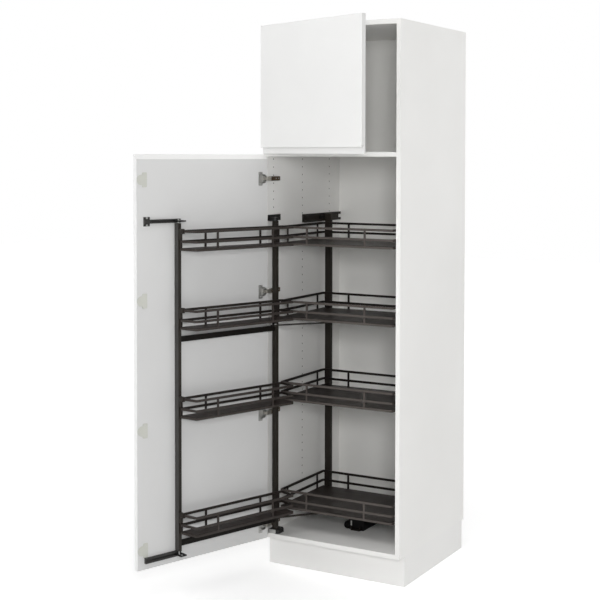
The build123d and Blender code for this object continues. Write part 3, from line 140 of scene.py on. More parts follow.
# Light levels: sky strength, then each lamp's place, aim, size (metres) and power (watts)
SKY_STRENGTH = 0.45
SEEN_SKY_STRENGTH = 1.0
LAMPS = {
    "key": ((2.5, -4.2, 2.05), (0.0, 0.0, 1.4), (0.9, 0.9), 82.0),
    "left": ((-3.5, -4.0, 2.2), (0.0, 0.0, 1.2), (3.0, 3.0), 32.0),
    "top": ((0.6, -2.0, 5.0), (0.0, 0.0, 1.1), (3.0, 3.0), 42.0),
    "rear": ((2.8, 4.4, 2.4), (0.3, 0.25, 1.1), (3.0, 3.0), 42.0),
}
WHITE = (1.0, 1.0, 1.0, 1.0)
# Glow that keeps the seen floor white where the lamps don't reach, and spares the shadow near the object.
# It grows from the near to the far level between two distances (metres)
FLOOR_GLOW_NEAR = 0.36
FLOOR_GLOW_FAR = 0.58
FLOOR_GLOW_REACH = (1.0, 5.0)
FLOOR_REACH = 14.0


def rays_that_see(tree):
    """Largest of Light Path's camera, glossy and transmission rays."""
    path = tree.nodes.new("ShaderNodeLightPath")
    value = path.outputs["Is Camera Ray"]
    for kind in ("Is Glossy Ray", "Is Transmission Ray"):
        node = tree.nodes.new("ShaderNodeMath")
        node.operation = "MAXIMUM"
        tree.links.new(value, node.inputs[0])
        tree.links.new(path.outputs[kind], node.inputs[1])
        value = node.outputs["Value"]
    return value


class Shader:
    """Node tree of one material, with short calls for the nodes used here."""

    def __init__(self, name):
        self.material = bpy.data.materials.new(name)
        self.material.use_nodes = True
        self.tree = self.material.node_tree
        self.tree.nodes.clear()
        self.output = self.tree.nodes.new("ShaderNodeOutputMaterial")
        self.surface = self.tree.nodes.new("ShaderNodeBsdfPrincipled")
        self.feed(self.output.inputs["Surface"], self.surface.outputs["BSDF"])
        coordinates = self.tree.nodes.new("ShaderNodeTexCoord")
        self.place = coordinates.outputs["Object"]
        self.normal = coordinates.outputs["Normal"]

    def feed(self, socket, source):
        """Links another node's output to a socket, or sets the socket to a constant."""
        if isinstance(source, bpy.types.NodeSocket):
            self.tree.links.new(source, socket)
        else:
            socket.default_value = source

    def stretched(self, scale, turn=0.0):
        """Object coordinates turned about Z and scaled along each axis."""
        node = self.tree.nodes.new("ShaderNodeMapping")
        node.vector_type = "POINT"
        node.inputs["Rotation"].default_value = (0.0, 0.0, turn)
        node.inputs["Scale"].default_value = scale
        self.feed(node.inputs["Vector"], self.place)
        return node.outputs["Vector"]

    def along_axes(self):
        """X, Y and Z of the object coordinates."""
        node = self.tree.nodes.new("ShaderNodeSeparateXYZ")
        self.feed(node.inputs["Vector"], self.place)
        return node.outputs["X"], node.outputs["Y"], node.outputs["Z"]

    def noise(self, scale=1.0, detail=3.0, roughness=0.5, vector=None, distortion=0.0):
        """Noise over the object coordinates, or over a stretched copy of them."""
        node = self.tree.nodes.new("ShaderNodeTexNoise")
        node.inputs["Scale"].default_value = scale
        node.inputs["Detail"].default_value = detail
        node.inputs["Roughness"].default_value = roughness
        node.inputs["Distortion"].default_value = distortion
        self.feed(node.inputs["Vector"], vector or self.place)
        return node.outputs["Fac"]

    def spread(self, value, start, end, from_low=0.3, from_high=0.7):
        """Maps a value onto a range; most noise lies between 0.3 and 0.7."""
        node = self.tree.nodes.new("ShaderNodeMapRange")
        node.inputs["From Min"].default_value = from_low
        node.inputs["From Max"].default_value = from_high
        node.inputs["To Min"].default_value = start
        node.inputs["To Max"].default_value = end
        self.feed(node.inputs["Value"], value)
        return node.outputs["Result"]

    def roughness(self, value, gloss, wander):
        """Roughness that wanders about a level."""
        return self.spread(value, gloss - wander, gloss + wander)

    def colours(self, value, stops):
        """Colour ramp through (position, colour) stops."""
        node = self.tree.nodes.new("ShaderNodeValToRGB")
        ramp = node.color_ramp
        for index, (position, colour) in enumerate(stops):
            element = ramp.elements[index] if index < 2 else ramp.elements.new(position)
            element.position = position
            element.color = (*colour, 1.0)
        self.feed(node.inputs["Fac"], value)
        return node.outputs["Color"]

    def two_tones(self, value, dark, light, reach=0.15):
        """Colour ramp from dark to light, as far as reach on both sides of the noise's middle."""
        return self.colours(value, [(0.5 - reach, dark), (0.5 + reach, light)])

    def combine(self, one, two, operation):
        """Sum, product, comparison or the like of two values."""
        node = self.tree.nodes.new("ShaderNodeMath")
        node.operation = operation
        self.feed(node.inputs[0], one)
        self.feed(node.inputs[1], two)
        return node.outputs["Value"]

    def mixture(self, one, two, share):
        """Weighted sum of two values, with the first one's share."""
        first = self.combine(one, share, "MULTIPLY")
        second = self.combine(two, 1.0 - share, "MULTIPLY")
        return self.combine(first, second, "ADD")

    def blend(self, value, one, two):
        """The first colour where the value is 0, the second where it is 1."""
        node = self.tree.nodes.new("ShaderNodeMix")
        node.data_type = "RGBA"
        self.feed(node.inputs["Factor"], value)
        self.feed(node.inputs["A"], one)
        self.feed(node.inputs["B"], two)
        return node.outputs["Result"]

    def vectors(self, operation, *values):
        """Outputs of a vector node."""
        node = self.tree.nodes.new("ShaderNodeVectorMath")
        node.operation = operation
        for socket, value in zip(node.inputs, values):
            self.feed(socket, value)
        return node.outputs

    def facing(self, direction):
        """1 on faces that look along a direction in the object's own frame, 0 on the others."""
        cosine = self.vectors("DOT_PRODUCT", self.normal, direction)["Value"]
        return self.combine(cosine, FACING_COSINE, "GREATER_THAN")

    def outward(self, centre):
        """1 on faces that look away from an upright line through a centre, 0 on those that look at it."""
        away = self.vectors("SUBTRACT", self.place, centre)["Vector"]
        level = self.vectors("MULTIPLY", away, (1.0, 1.0, 0.0))["Vector"]
        agreement = self.vectors("DOT_PRODUCT", level, self.normal)["Value"]
        return self.combine(agreement, 0.0, "GREATER_THAN")

    def eased_edges(self, radius):
        """Normal that rounds sharp edges off."""
        node = self.tree.nodes.new("ShaderNodeBevel")
        node.samples = EASE_SAMPLES
        node.inputs["Radius"].default_value = radius
        return node.outputs["Normal"]

    def relief(self, height, strength, distance, normal=None):
        """Normal of a height pattern, on top of another normal if one is given."""
        node = self.tree.nodes.new("ShaderNodeBump")
        node.inputs["Strength"].default_value = strength
        node.inputs["Distance"].default_value = distance
        self.feed(node.inputs["Height"], height)
        if normal is not None:
            self.feed(node.inputs["Normal"], normal)
        return node.outputs["Normal"]

    def finish(self, colour, roughness, normal=None, **constants):
        """Feeds the surface and gives the material; constants are named by socket, with _ for spaces."""
        self.feed(self.surface.inputs["Base Color"], colour)
        self.feed(self.surface.inputs["Roughness"], roughness)
        if normal is not None:
            self.feed(self.surface.inputs["Normal"], normal)
        for socket, value in constants.items():
            self.feed(self.surface.inputs[socket.replace("_", " ")], value)
        return self.material


def drilled_holes(shader):
    """1 inside the side panels' shelf-pin holes, 0 elsewhere."""
    x, y, z = shader.along_axes()
    across = None
    for row in PIN_ROWS:
        distance = shader.combine(shader.combine(y, row, "SUBTRACT"), 0.0, "ABSOLUTE")
        across = distance if across is None else shader.combine(across, distance, "MINIMUM")
    steps = shader.combine(shader.combine(z, PIN_HOLE_LOWEST, "SUBTRACT"), PIN_HOLE_PITCH, "DIVIDE")
    offset = shader.combine(steps, shader.combine(steps, 0.0, "ROUND"), "SUBTRACT")
    upright = shader.combine(offset, PIN_HOLE_PITCH, "MULTIPLY")
    across_squared = shader.combine(across, across, "MULTIPLY")
    upright_squared = shader.combine(upright, upright, "MULTIPLY")
    squares = shader.combine(across_squared, upright_squared, "ADD")
    within = shader.combine(squares, (RAW_BOARD_RADIUS * PIN_HOLE_RADIUS) ** 2, "LESS_THAN")
    sideways = shader.combine(x, 0.0, "ABSOLUTE")
    inside = shader.combine(sideways, RAW_BOARD_REACH * PANEL_OUTER_FACE, "LESS_THAN")
    return shader.combine(within, inside, "MULTIPLY")


def foil_pattern(shader):
    """Wide faint mottling, and fine pores."""
    return shader.noise(scale=2.2, detail=4.0), shader.noise(scale=900.0, detail=2.0)


def foil_finish(shader, colour, pores, gloss, ease):
    """Satin foil on board, with its pores in relief and its edges eased."""
    roughness = shader.roughness(shader.noise(scale=35.0), gloss, wander=0.05)
    normal = shader.relief(pores, strength=0.08, distance=0.0003, normal=shader.eased_edges(ease))
    return shader.finish(colour, roughness, normal, Specular_IOR_Level=0.4)


def white_foil(name, dark, light, gloss, ease, drilled=False):
    """Melamine or foil on chipboard, with raw board in drilled holes."""
    shader = Shader(name)
    mottling, pores = foil_pattern(shader)
    colour = shader.two_tones(shader.mixture(mottling, pores, share=0.75), dark, light)
    if drilled:
        raw = shader.two_tones(shader.noise(scale=700.0), (0.05, 0.035, 0.022), (0.11, 0.08, 0.05))
        colour = shader.blend(drilled_holes(shader), colour, raw)
    return foil_finish(shader, colour, pores, gloss, ease)


def back_direction(open_angle):
    """Where the back face of a door looks that is open by an angle."""
    return (sin(open_angle), cos(open_angle), 0.0)


def free_edge_direction(open_angle):
    """Where the free edge of a door looks that is open by an angle."""
    return (cos(open_angle), -sin(open_angle), 0.0)


def door_foil(name, front, back, edge, open_angle):
    """White foil on the front, with tones of their own on the back face and on the free edge, which paint
    shade and highlight.
    """
    shader = Shader(name)
    mottling, pores = foil_pattern(shader)
    tones = []
    for light in (front, back, edge):
        tones.append(shader.two_tones(mottling, [part - MOTTLING_DROP for part in light], light))
    # Painted shade: faces that look the way the back does take the back's greyer tone
    colour = shader.blend(shader.facing(back_direction(open_angle)), tones[0], tones[1])
    # Painted light: faces that look the way the free edge does take the edge's tone, a painted highlight
    # on the lower door and painted shade on the upper
    colour = shader.blend(shader.facing(free_edge_direction(open_angle)), colour, tones[2])
    return foil_finish(shader, colour, pores, gloss=0.48, ease=DOOR_EASE)


def coat_pattern(shader):
    """Orange peel of a powder coat, and the peel with wide clouds in it."""
    peel = shader.noise(scale=1400.0, detail=2.0)
    return peel, shader.mixture(peel, shader.noise(scale=9.0), share=0.5)


def coat_finish(shader, colour, peel, gloss, shine):
    """Satin coat with its orange peel in relief."""
    roughness = shader.roughness(peel, gloss, wander=0.06)
    normal = shader.relief(peel, strength=0.25, distance=0.0002, normal=shader.eased_edges(COAT_EASE))
    return shader.finish(colour, roughness, normal, Specular_IOR_Level=shine)


def powder_coat(name, dark, light, gloss=0.5, painted_light_side=None, shine=0.25):
    """Powder-coated steel, with painted light on one side: faces that look along a direction, if one is
    given, are paler.
    """
    shader = Shader(name)
    peel, clouded = coat_pattern(shader)
    colour = shader.two_tones(clouded, dark, light)
    if painted_light_side:
        # Painted light: the paler tone of the lit side
        painted_lit_tone = shader.two_tones(clouded, (0.044, 0.0415, 0.0392), (0.068, 0.0645, 0.0612))
        colour = shader.blend(shader.facing(painted_light_side), colour, painted_lit_tone)
    return coat_finish(shader, colour, peel, gloss, shine)


def basket_coat(name, centre, dark, light):
    """Satin powder coat with painted shade: faces that look towards an upright line through a centre are
    darker than those that look away.
    """
    shader = Shader(name)
    peel, clouded = coat_pattern(shader)
    # Painted shade: the darker tone of the inward faces
    inner = shader.two_tones(clouded, (0.009, 0.0066, 0.0052), (0.019, 0.0142, 0.0115))
    outer = shader.two_tones(clouded, dark, light)
    colour = shader.blend(shader.outward(centre), inner, outer)
    return coat_finish(shader, colour, peel, gloss=0.5, shine=0.25)


def grained_laminate(name, turn):
    """Dark laminate with fine grain along the tray's length."""
    shader = Shader(name)
    along = shader.stretched(scale=(4.0, 160.0, 40.0), turn=turn)
    grain = shader.noise(detail=6.0, roughness=0.65, vector=along, distortion=0.4)
    finer = shader.stretched(scale=(25.0, 900.0, 200.0), turn=turn)
    fibres = shader.noise(roughness=0.6, vector=finer)
    mixed = shader.mixture(grain, fibres, share=0.65)
    stops = [
        (0.34, (0.013, 0.009, 0.0075)),
        (0.5, (0.021, 0.0148, 0.0125)),
        (0.66, (0.035, 0.025, 0.021)),
    ]
    colour = shader.colours(mixed, stops)
    roughness = shader.spread(mixed, start=0.52, end=0.40)
    normal = shader.relief(mixed, strength=0.25, distance=0.0004, normal=shader.eased_edges(TRAY_EASE))
    return shader.finish(colour, roughness, normal, Specular_IOR_Level=0.3)


def moulded_plastic(name, dark, light, gloss, shine=0.3):
    """Plastic with the fine grain of its mould."""
    shader = Shader(name)
    grain = shader.noise(scale=1100.0, detail=2.0)
    colour = shader.two_tones(shader.noise(scale=14.0, detail=2.0), dark, light)
    roughness = shader.roughness(grain, gloss, wander=0.06)
    normal = shader.relief(grain, strength=0.2, distance=0.0002, normal=shader.eased_edges(MOULDING_EASE))
    return shader.finish(colour, roughness, normal, Specular_IOR_Level=shine)


def drawn_streaks(shader):
    """Fine streaks of drawn sheet metal."""
    return shader.noise(roughness=0.6, vector=shader.stretched(scale=(300.0, 60.0, 1500.0)))


def plate_finish(shader, colour, streaks, gloss):
    """Metal with its streaks in relief."""
    roughness = shader.roughness(streaks, gloss, wander=0.08)
    normal = shader.relief(streaks, strength=0.1, distance=0.0001, normal=shader.eased_edges(SHEET_EASE))
    return shader.finish(colour, roughness, normal, Metallic=1.0)


def plated_steel(name, dark, light, gloss):
    """Zinc plate or blackened steel with drawn streaks."""
    shader = Shader(name)
    streaks = drawn_streaks(shader)
    return plate_finish(shader, shader.two_tones(streaks, dark, light, reach=0.2), streaks, gloss)


def hinge_arm_steel(name):
    """Nickel-plated knuckle end, bronzed cover towards the mounting plate."""
    shader = Shader(name)
    streaks = drawn_streaks(shader)
    nickel = shader.two_tones(streaks, (0.66, 0.63, 0.58), (0.80, 0.77, 0.71), reach=0.2)
    bronze = shader.two_tones(streaks, (0.10, 0.066, 0.040), (0.18, 0.122, 0.076), reach=0.2)
    covered = shader.combine(shader.along_axes()[1], HINGE_COVER_START, "GREATER_THAN")
    return plate_finish(shader, shader.blend(covered, nickel, bronze), streaks, gloss=0.4)


def beech(name):
    """Plain beech with its grain along X."""
    shader = Shader(name)
    along = shader.stretched(scale=(30.0, 500.0, 500.0))
    grain = shader.noise(detail=5.0, roughness=0.6, vector=along)
    colour = shader.two_tones(grain, (0.42, 0.27, 0.14), (0.60, 0.42, 0.24), reach=0.2)
    roughness = shader.spread(grain, start=0.55, end=0.7)
    return shader.finish(colour, roughness, shader.relief(grain, strength=0.2, distance=0.0003))


def middle(name):
    """Centre of a CAD node's box."""
    corners = [Vector(corner) for corner in nodes[name].bound_box]
    return sum(corners, Vector()) / len(corners)


# Dark and light tones that several surfaces share, and where the open lower door's free edge looks, the
# side painted lighter on the outer post and the guides
CARCASS_WHITE = ((0.86, 0.855, 0.835), (0.90, 0.895, 0.875))
DARK_COAT = ((0.0115, 0.0092, 0.0069), (0.026, 0.0214, 0.0162))
DOOR_WHITE = (0.88, 0.88, 0.87)
LOWER_DOOR_EDGE_WAY = free_edge_direction(LOWER_DOOR_OPEN)

MATERIALS = {
    "carcass": white_foil("carcass_foil", *CARCASS_WHITE, gloss=0.5, ease=BOARD_EASE),
    "side": white_foil("side_foil", *CARCASS_WHITE, gloss=0.5, ease=BOARD_EASE, drilled=True),
    # The lower door's grey back is painted shade from the baskets, and its whiter free edge a painted
    # highlight
    "lower_door": door_foil("lower_door_foil", DOOR_WHITE, back=(0.69, 0.69, 0.685),
                            edge=(0.95, 0.95, 0.945), open_angle=LOWER_DOOR_OPEN),
    # The upper door's grey free edge is painted shade; its back is a touch greyer than its front
    "upper_door": door_foil("upper_door_foil", DOOR_WHITE, back=(0.86, 0.86, 0.85),
                            edge=(0.72, 0.72, 0.71), open_angle=UPPER_DOOR_OPEN),
    "back": white_foil("back_paint", (0.84, 0.835, 0.81), (0.88, 0.875, 0.85), gloss=0.6, ease=BACK_EASE),
    "plinth": white_foil("plinth_foil", (0.85, 0.845, 0.83), (0.89, 0.885, 0.87), gloss=0.5,
                         ease=PLINTH_EASE),
    "dark_steel": powder_coat("dark_powder_coat", *DARK_COAT),
    "cross_bar": powder_coat("cross_bar_coat", (0.005, 0.0043, 0.0034), (0.0114, 0.0098, 0.0078),
                             shine=0.1),
    # The outer post and the guides get painted light on the faces that look the way the lower door's free
    # edge does
    "outer_post": powder_coat("outer_post_coat", *DARK_COAT, painted_light_side=LOWER_DOOR_EDGE_WAY),
    "guide": powder_coat("guide_coat", (0.022, 0.0213, 0.0203), (0.040, 0.039, 0.0372), gloss=0.45,
                         painted_light_side=LOWER_DOOR_EDGE_WAY),
    "carriage": moulded_plastic("carriage_plastic", (0.0012, 0.0012, 0.0011), (0.0026, 0.0026, 0.0024),
                                gloss=0.4, shine=0.12),
    "inner_tray": grained_laminate("tray_laminate_inner", turn=0.0),
    "door_tray": grained_laminate("tray_laminate_door", turn=LOWER_DOOR_OPEN),
    "black_plastic": moulded_plastic("black_plastic", (0.004, 0.004, 0.004), (0.008, 0.008, 0.0076),
                                     gloss=0.34),
    "beige_plastic": moulded_plastic("beige_plastic", (0.555, 0.56, 0.515), (0.60, 0.605, 0.555),
                                     gloss=0.45),
    "zinc": plated_steel("zinc_plate", (0.36, 0.36, 0.35), (0.48, 0.48, 0.465), gloss=0.42),
    "hinge_arm": hinge_arm_steel("hinge_arm_steel"),
    # Door and inner baskets get painted shade on their inward faces
    "door_basket": basket_coat("door_basket_coat", middle("door_basket_1"),
                               (0.024, 0.019, 0.0165), (0.042, 0.035, 0.031)),
    "inner_basket": basket_coat("inner_basket_coat", middle("inner_basket_1"),
                                (0.062, 0.053, 0.047), (0.094, 0.082, 0.075)),
    "black_steel": plated_steel("blackened_steel", (0.03, 0.028, 0.026), (0.06, 0.056, 0.052),
                                gloss=0.45),
    "beech": beech("beech"),
}

NODE_MATERIALS = {
    "carcass": ["bottom_panel", "divider_shelf", "top_panel", "wall_rail"],
    "side": ["side_panel_left", "side_panel_right"],
    "lower_door": ["lower_door_panel"],
    "upper_door": ["upper_door_panel"],
    "back": ["back_board"],
    "plinth": ["plinth_front", "plinth_side_left", "plinth_side_right"],
    "dark_steel": ["pivot_post", "crank_plates", "link_rods", "inner_post", "link_brackets", "top_runner",
                   "floor_runner"],
    "cross_bar": ["cross_bars"],
    "outer_post": ["outer_post"],
    "guide": ["door_guide_top", "door_guide_bottom"],
    "carriage": ["floor_carriage"],
    "door_basket": [f"door_basket_{number}" for number in BASKET_NUMBERS],
    "inner_basket": [f"inner_basket_{number}" for number in BASKET_NUMBERS],
    "inner_tray": [f"inner_tray_{number}" for number in BASKET_NUMBERS],
    "door_tray": [f"door_tray_{number}" for number in BASKET_NUMBERS],
    "black_plastic": ["leg_sockets", "leg_feet", "plinth_clips", "top_carriage", "guide_shoes",
                      "pivot_bracket_foot", "pivot_bracket_head"],
    "beige_plastic": ["cover_caps"],
    "zinc": ["hinge_plates", "hinge_pins", "lower_hinge_cups", "upper_hinge_cups", "lower_door_screws",
             "upper_door_screws", "pivot_pins", "guide_pins", "link_bolts"],
    "hinge_arm": ["hinge_arms"],
    "black_steel": ["carcass_screws"],
    "beech": ["panel_dowels"],
}


def dress_cad():
    """Gives each CAD node its material."""
    for key, names in NODE_MATERIALS.items():
        for name in names:
            mesh = nodes[name].data
            mesh.materials.clear()
            mesh.materials.append(MATERIALS[key])


def finished_mesh(name, shape):
    """Mesh of a finished bmesh, with its faces turned outwards."""
    bmesh.ops.recalc_face_normals(shape, faces=shape.faces)
    mesh = bpy.data.meshes.new(name)
    shape.to_mesh(mesh)
    shape.free()
    return mesh


def add_piece(name, shape, material, body):
    """Turns a finished bmesh into a piece that rides on a body."""
    mesh = finished_mesh(name, shape)
    mesh.materials.append(MATERIALS[material])
    piece = bpy.data.objects.new(name, mesh)
    bpy.context.scene.collection.objects.link(piece)
    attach(piece, body)
    return piece


def turned_to(direction, axis="Z"):
    """Turn that makes an axis look along a direction."""
    return Vector(direction).to_track_quat(axis, "Y").to_matrix().to_4x4()


def add_eased_block(shape, low, high, ease, place=Matrix()):
    """Adds a block with rounded edges between two corners."""
    low, high = Vector(low), Vector(high)
    stretch = Matrix.Translation((low + high) / 2) @ Matrix.Diagonal((*(high - low), 1.0))
    corners = bmesh.ops.create_cube(shape, size=1.0, matrix=place @ stretch)["verts"]
    edges = list(dict.fromkeys(edge for corner in corners for edge in corner.link_edges))
    bmesh.ops.bevel(shape, geom=edges, offset=ease, segments=EASE_STEPS, profile=0.5, affect="EDGES")


def join_loops(shape, lower, upper):
    """Adds the faces between two closed loops of as many points."""
    for index in range(len(lower)):
        after = (index + 1) % len(lower)
        shape.faces.new((lower[index], lower[after], upper[after], upper[index]))


def add_rings(shape, profile):
    """Adds rings of (radius, height) about Z, joined by faces, and gives the first and last ring."""
    angles = [tau * step / ROUND_STEPS for step in range(ROUND_STEPS)]
    rings = []
    for radius, height in profile:
        points = [(radius * cos(angle), radius * sin(angle), height) for angle in angles]
        rings.append([shape.verts.new(point) for point in points])
    for lower, upper in zip(rings, rings[1:]):
        join_loops(shape, lower, upper)
    return rings[0], rings[-1]


def edges_round(shape, loop):
    """Edges of a closed loop of points, made where they are missing."""
    pairs = zip(loop, loop[1:] + loop[:1])
    return [shape.edges.get(pair) or shape.edges.new(pair) for pair in pairs]


def cross_outline(shape, radius, height):
    """Points of the cross recess's outline at a height."""
    reach, half = RECESS_REACH * radius, RECESS_HALF_WIDTH * radius
    outline = []
    for quarter in range(4):
        turn = Matrix.Rotation(quarter * tau / 4, 4, "Z")
        for x, y in ((reach, -half), (reach, half), (half, half)):
            outline.append(shape.verts.new(turn @ Vector((x, y, height))))
    return outline


def screw_mesh(name, radius, height, shank_radius, shank_length):
    """Pan-head screw along Z whose head sits on Z = 0, with a cross recess."""
    shape = bmesh.new()
    tip = min(SCREW_TIP_LENGTH, shank_length / 2)
    profile = [
        (SCREW_TIP_SHARE * shank_radius, -shank_length),
        (shank_radius, tip - shank_length),
        (shank_radius, 0.0),
    ]
    profile += [(radius * across, height * up) for across, up in HEAD_OUTLINE]
    point, rim = add_rings(shape, profile)
    shape.faces.new(point)
    mouth = cross_outline(shape, radius, height)
    floor = cross_outline(shape, radius, RECESS_FLOOR * height)
    top_edges = edges_round(shape, rim) + edges_round(shape, mouth)
    bmesh.ops.triangle_fill(shape, use_beauty=True, edges=top_edges)
    join_loops(shape, mouth, floor)
    shape.faces.new(floor)
    return finished_mesh(name, shape)


def separate_solids(name):
    """Corner places of each solid in a CAD node, in the same order each run."""
    shape = bmesh.new()
    shape.from_mesh(nodes[name].data)
    bmesh.ops.remove_doubles(shape, verts=shape.verts, dist=WELD_DISTANCE)
    waiting = dict.fromkeys(shape.verts)
    solids = []
    while waiting:
        found = [waiting.popitem()[0]]
        for corner in found:
            for edge in corner.link_edges:
                other = edge.other_vert(corner)
                if other in waiting:
                    del waiting[other]
                    found.append(other)
        solids.append(numpy.array([corner.co[:] for corner in found]))
    shape.free()
    return solids


def screw_place(corners):
    """Frame of a CAD screw: Z out through its head, origin under the head."""
    centre = corners.mean(axis=0)
    directions = numpy.linalg.svd(corners - centre)[2]
    along = (corners - centre) @ directions.T
    axis_point = (along.max(axis=0) + along.min(axis=0)) / 2
    reach = numpy.hypot(along[:, 1] - axis_point[1], along[:, 2] - axis_point[2])
    head = along[reach > (SCREW_SHANK_RADIUS + SCREW_HEAD_RADIUS) / 2, 0]
    outward = 1.0 if head.mean() > axis_point[0] else -1.0
    seat = head.min() if outward > 0 else head.max()
    origin = centre + directions.T @ numpy.array((seat, axis_point[1], axis_point[2]))
    return Matrix.Translation(Vector(origin)) @ turned_to(outward * directions[0])


def copies(mesh, places):
    """One bmesh with a copy of a mesh at each place."""
    shape = bmesh.new()
    for place in places:
        before = len(shape.verts)
        shape.from_mesh(mesh)
        shape.verts.ensure_lookup_table()
        bmesh.ops.transform(shape, matrix=place, verts=shape.verts[before:])
    return shape


def sits_on(place, name):
    """Whether a screw's place is on a CAD node."""
    low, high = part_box(name)
    spot = place.translation
    room = SCREW_HEAD_HEIGHT
    return all(low[axis] - room < spot[axis] < high[axis] + room for axis in range(3))


def add_screws():
    """Screws with recessed heads in place of the CAD's plain ones, black on the bottom guide."""
    screw = screw_mesh("screw", SCREW_HEAD_RADIUS, SCREW_HEAD_HEIGHT, SCREW_SHANK_RADIUS,
                       SCREW_SHANK_LENGTH)
    for node, material, body in SCREW_NODES:
        places = [screw_place(corners) for corners in separate_solids(node)]
        black = [place for place in places if sits_on(place, "door_guide_bottom")]
        plain = [place for place in places if place not in black]
        piece = add_piece(f"{node}_recessed", copies(screw, plain), material, body)
        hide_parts(node)
        if black:
            add_piece("guide_screws_black", copies(screw, black), "black_steel", body)


def add_hinge_adjusters():
    """Adjusting screws on the hinge arms."""
    adjuster = screw_mesh("adjuster", ADJUSTER_HEAD_RADIUS, ADJUSTER_HEAD_HEIGHT, ADJUSTER_SHANK_RADIUS,
                          ADJUSTER_SHANK_LENGTH)
    outwards = turned_to((1.0, 0.0, 0.0))
    places = []
    for corners in separate_solids("hinge_arms"):
        centre = (corners.max(axis=0) + corners.min(axis=0)) / 2
        for along in ADJUSTER_PLACES:
            places.append(Matrix.Translation((corners[:, 0].max(), along, centre[2])) @ outwards)
    add_piece("hinge_adjusters", copies(adjuster, places), "zinc", "carcass")


def add_basket_clips():
    """Black clips that hold each door basket's top rail to the outer post."""
    opened = Matrix.Translation(PIVOT_AXIS) @ Matrix.Rotation(-LOWER_DOOR_OPEN, 4, "Z")
    opened = opened @ Matrix.Translation(-PIVOT_AXIS)
    shape = bmesh.new()
    for number in BASKET_NUMBERS:
        rail_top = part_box(f"door_basket_{number}")[1][2]
        place = opened @ Matrix.Translation((OUTER_POST_X, TRAY_SIDE_FACE, rail_top))
        for low, high in (CLIP_BODY, CLIP_HOOK):
            add_eased_block(shape, low, high, CLIP_EASE, place)
    add_piece("basket_clips", shape, "dark_steel", "swing_frame")


def add_foot_plate():
    """Zinc plate on the front of the pivot post's foot bracket."""
    low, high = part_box("pivot_bracket_foot")
    shape = bmesh.new()
    add_eased_block(shape, (low[0], low[1] - FOOT_PLATE_THICKNESS, low[2]),
                    (low[0] + FOOT_PLATE_WIDTH, low[1], high[2] - PLATE_EASE), PLATE_EASE)
    add_piece("pivot_foot_plate", shape, "zinc", "carcass")


def add_carriage_fittings():
    """Strap and roller cap on the floor carriage's front."""
    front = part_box("floor_carriage")[0][1]
    shape = bmesh.new()
    add_eased_block(shape, (STRAP_SPAN[0], front - STRAP_THICKNESS, STRAP_HEIGHTS[0]),
                    (STRAP_SPAN[1], front, STRAP_HEIGHTS[1]), PLATE_EASE)
    add_piece("carriage_strap", shape, "zinc", "inner_frame")
    shape = bmesh.new()
    back, hub = add_rings(shape, ROLLER_PROFILE)
    shape.faces.new(back)
    shape.faces.new(hub)
    place = Matrix.Translation((ROLLER_CENTRE[0], front, ROLLER_CENTRE[1])) @ turned_to((0.0, -1.0, 0.0))
    bmesh.ops.transform(shape, matrix=place, verts=shape.verts)
    add_piece("carriage_roller_cap", shape, "carriage", "inner_frame")


def add_camera():
    """Camera at the photograph's place, shifted so that its axis meets the photograph's centre pixel."""
    right = Vector((cos(CAMERA_YAW), sin(CAMERA_YAW), 0.0))
    level = Vector((-sin(CAMERA_YAW), cos(CAMERA_YAW), 0.0))
    upright = Vector((0.0, 0.0, 1.0))
    ahead = level * cos(CAMERA_PITCH) - upright * sin(CAMERA_PITCH)
    above = upright * cos(CAMERA_PITCH) + level * sin(CAMERA_PITCH)
    side = right * cos(CAMERA_ROLL) + above * sin(CAMERA_ROLL)
    top = above * cos(CAMERA_ROLL) - right * sin(CAMERA_ROLL)
    data = bpy.data.cameras.new("camera")
    data.sensor_width = SENSOR_WIDTH
    data.lens = FOCAL_PIXELS / IMAGE_SIZE * SENSOR_WIDTH
    data.shift_x = (IMAGE_SIZE / 2 - CENTRE_PIXEL[0]) / IMAGE_SIZE
    data.shift_y = (CENTRE_PIXEL[1] - IMAGE_SIZE / 2) / IMAGE_SIZE
    camera = bpy.data.objects.new("camera", data)
    turn = Matrix((side, top, -ahead)).transposed().to_4x4()
    camera.matrix_world = Matrix.Translation(CAMERA_PLACE) @ turn
    bpy.context.scene.collection.objects.link(camera)
    bpy.context.scene.camera = camera


def add_lamps():
    """Soft rectangular lamps round the object."""
    for name, (place, target, size, power) in LAMPS.items():
        data = bpy.data.lights.new(name, "AREA")
        data.shape = "RECTANGLE"
        data.size, data.size_y = size
        data.energy = power
        lamp = bpy.data.objects.new(name, data)
        aim = Vector(target) - Vector(place)
        lamp.matrix_world = Matrix.Translation(place) @ turned_to(aim, "-Z")
        bpy.context.scene.collection.objects.link(lamp)


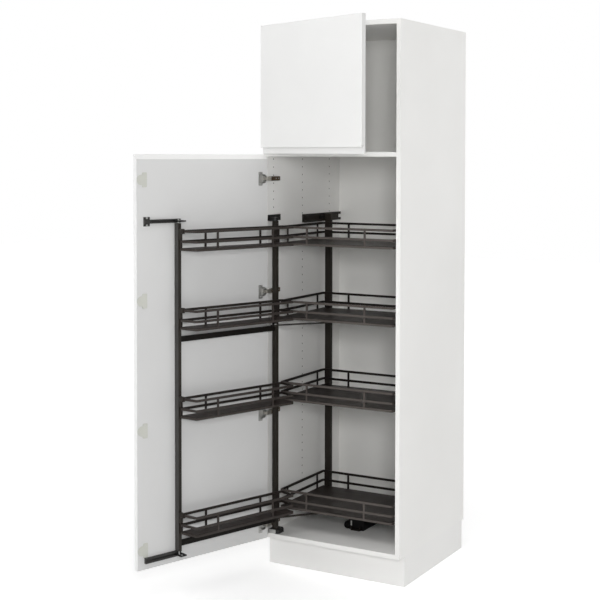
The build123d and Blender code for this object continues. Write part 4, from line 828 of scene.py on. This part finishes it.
def add_sky():
    """White world that looks white and lights the object more dimly."""
    world = bpy.data.worlds.new("studio")
    world.use_nodes = True
    tree = world.node_tree
    tree.nodes.clear()
    output = tree.nodes.new("ShaderNodeOutputWorld")
    mix = tree.nodes.new("ShaderNodeMixShader")
    tree.links.new(rays_that_see(tree), mix.inputs["Fac"])
    for socket, strength in ((mix.inputs[1], SKY_STRENGTH), (mix.inputs[2], SEEN_SKY_STRENGTH)):
        background = tree.nodes.new("ShaderNodeBackground")
        background.inputs["Color"].default_value = WHITE
        background.inputs["Strength"].default_value = strength
        tree.links.new(background.outputs["Background"], socket)
    tree.links.new(mix.outputs["Shader"], output.inputs["Surface"])
    bpy.context.scene.world = world


def floor_paper(name):
    """White studio paper with a glow that only rays that see it meet."""
    shader = Shader(name)
    mottling = shader.noise(scale=3.0, detail=2.0)
    tone = shader.two_tones(mottling, (0.94, 0.94, 0.94), (0.96, 0.96, 0.96), reach=0.2)
    roughness = shader.spread(shader.noise(scale=40.0), start=0.8, end=0.9)
    distance = shader.vectors("LENGTH", shader.place)["Value"]
    level = shader.spread(distance, FLOOR_GLOW_NEAR, FLOOR_GLOW_FAR, *FLOOR_GLOW_REACH)
    glow = shader.combine(rays_that_see(shader.tree), level, "MULTIPLY")
    shader.feed(shader.surface.inputs["Emission Strength"], glow)
    return shader.finish(tone, roughness, Emission_Color=WHITE)


def add_floor():
    """Plain pale floor under the object."""
    reach = FLOOR_REACH
    corners = [(-reach, -reach, 0.0), (reach, -reach, 0.0), (reach, reach, 0.0), (-reach, reach, 0.0)]
    mesh = bpy.data.meshes.new("floor")
    mesh.from_pydata(corners, [], [(0, 1, 2, 3)])
    mesh.materials.append(floor_paper("floor_paper"))
    floor = bpy.data.objects.new("floor", mesh)
    bpy.context.scene.collection.objects.link(floor)


dress_cad()
add_screws()
add_hinge_adjusters()
add_basket_clips()
add_foot_plate()
add_carriage_fittings()
add_camera()
add_sky()
add_floor()
add_lamps()
bpy.context.scene.view_settings.view_transform = "Standard"
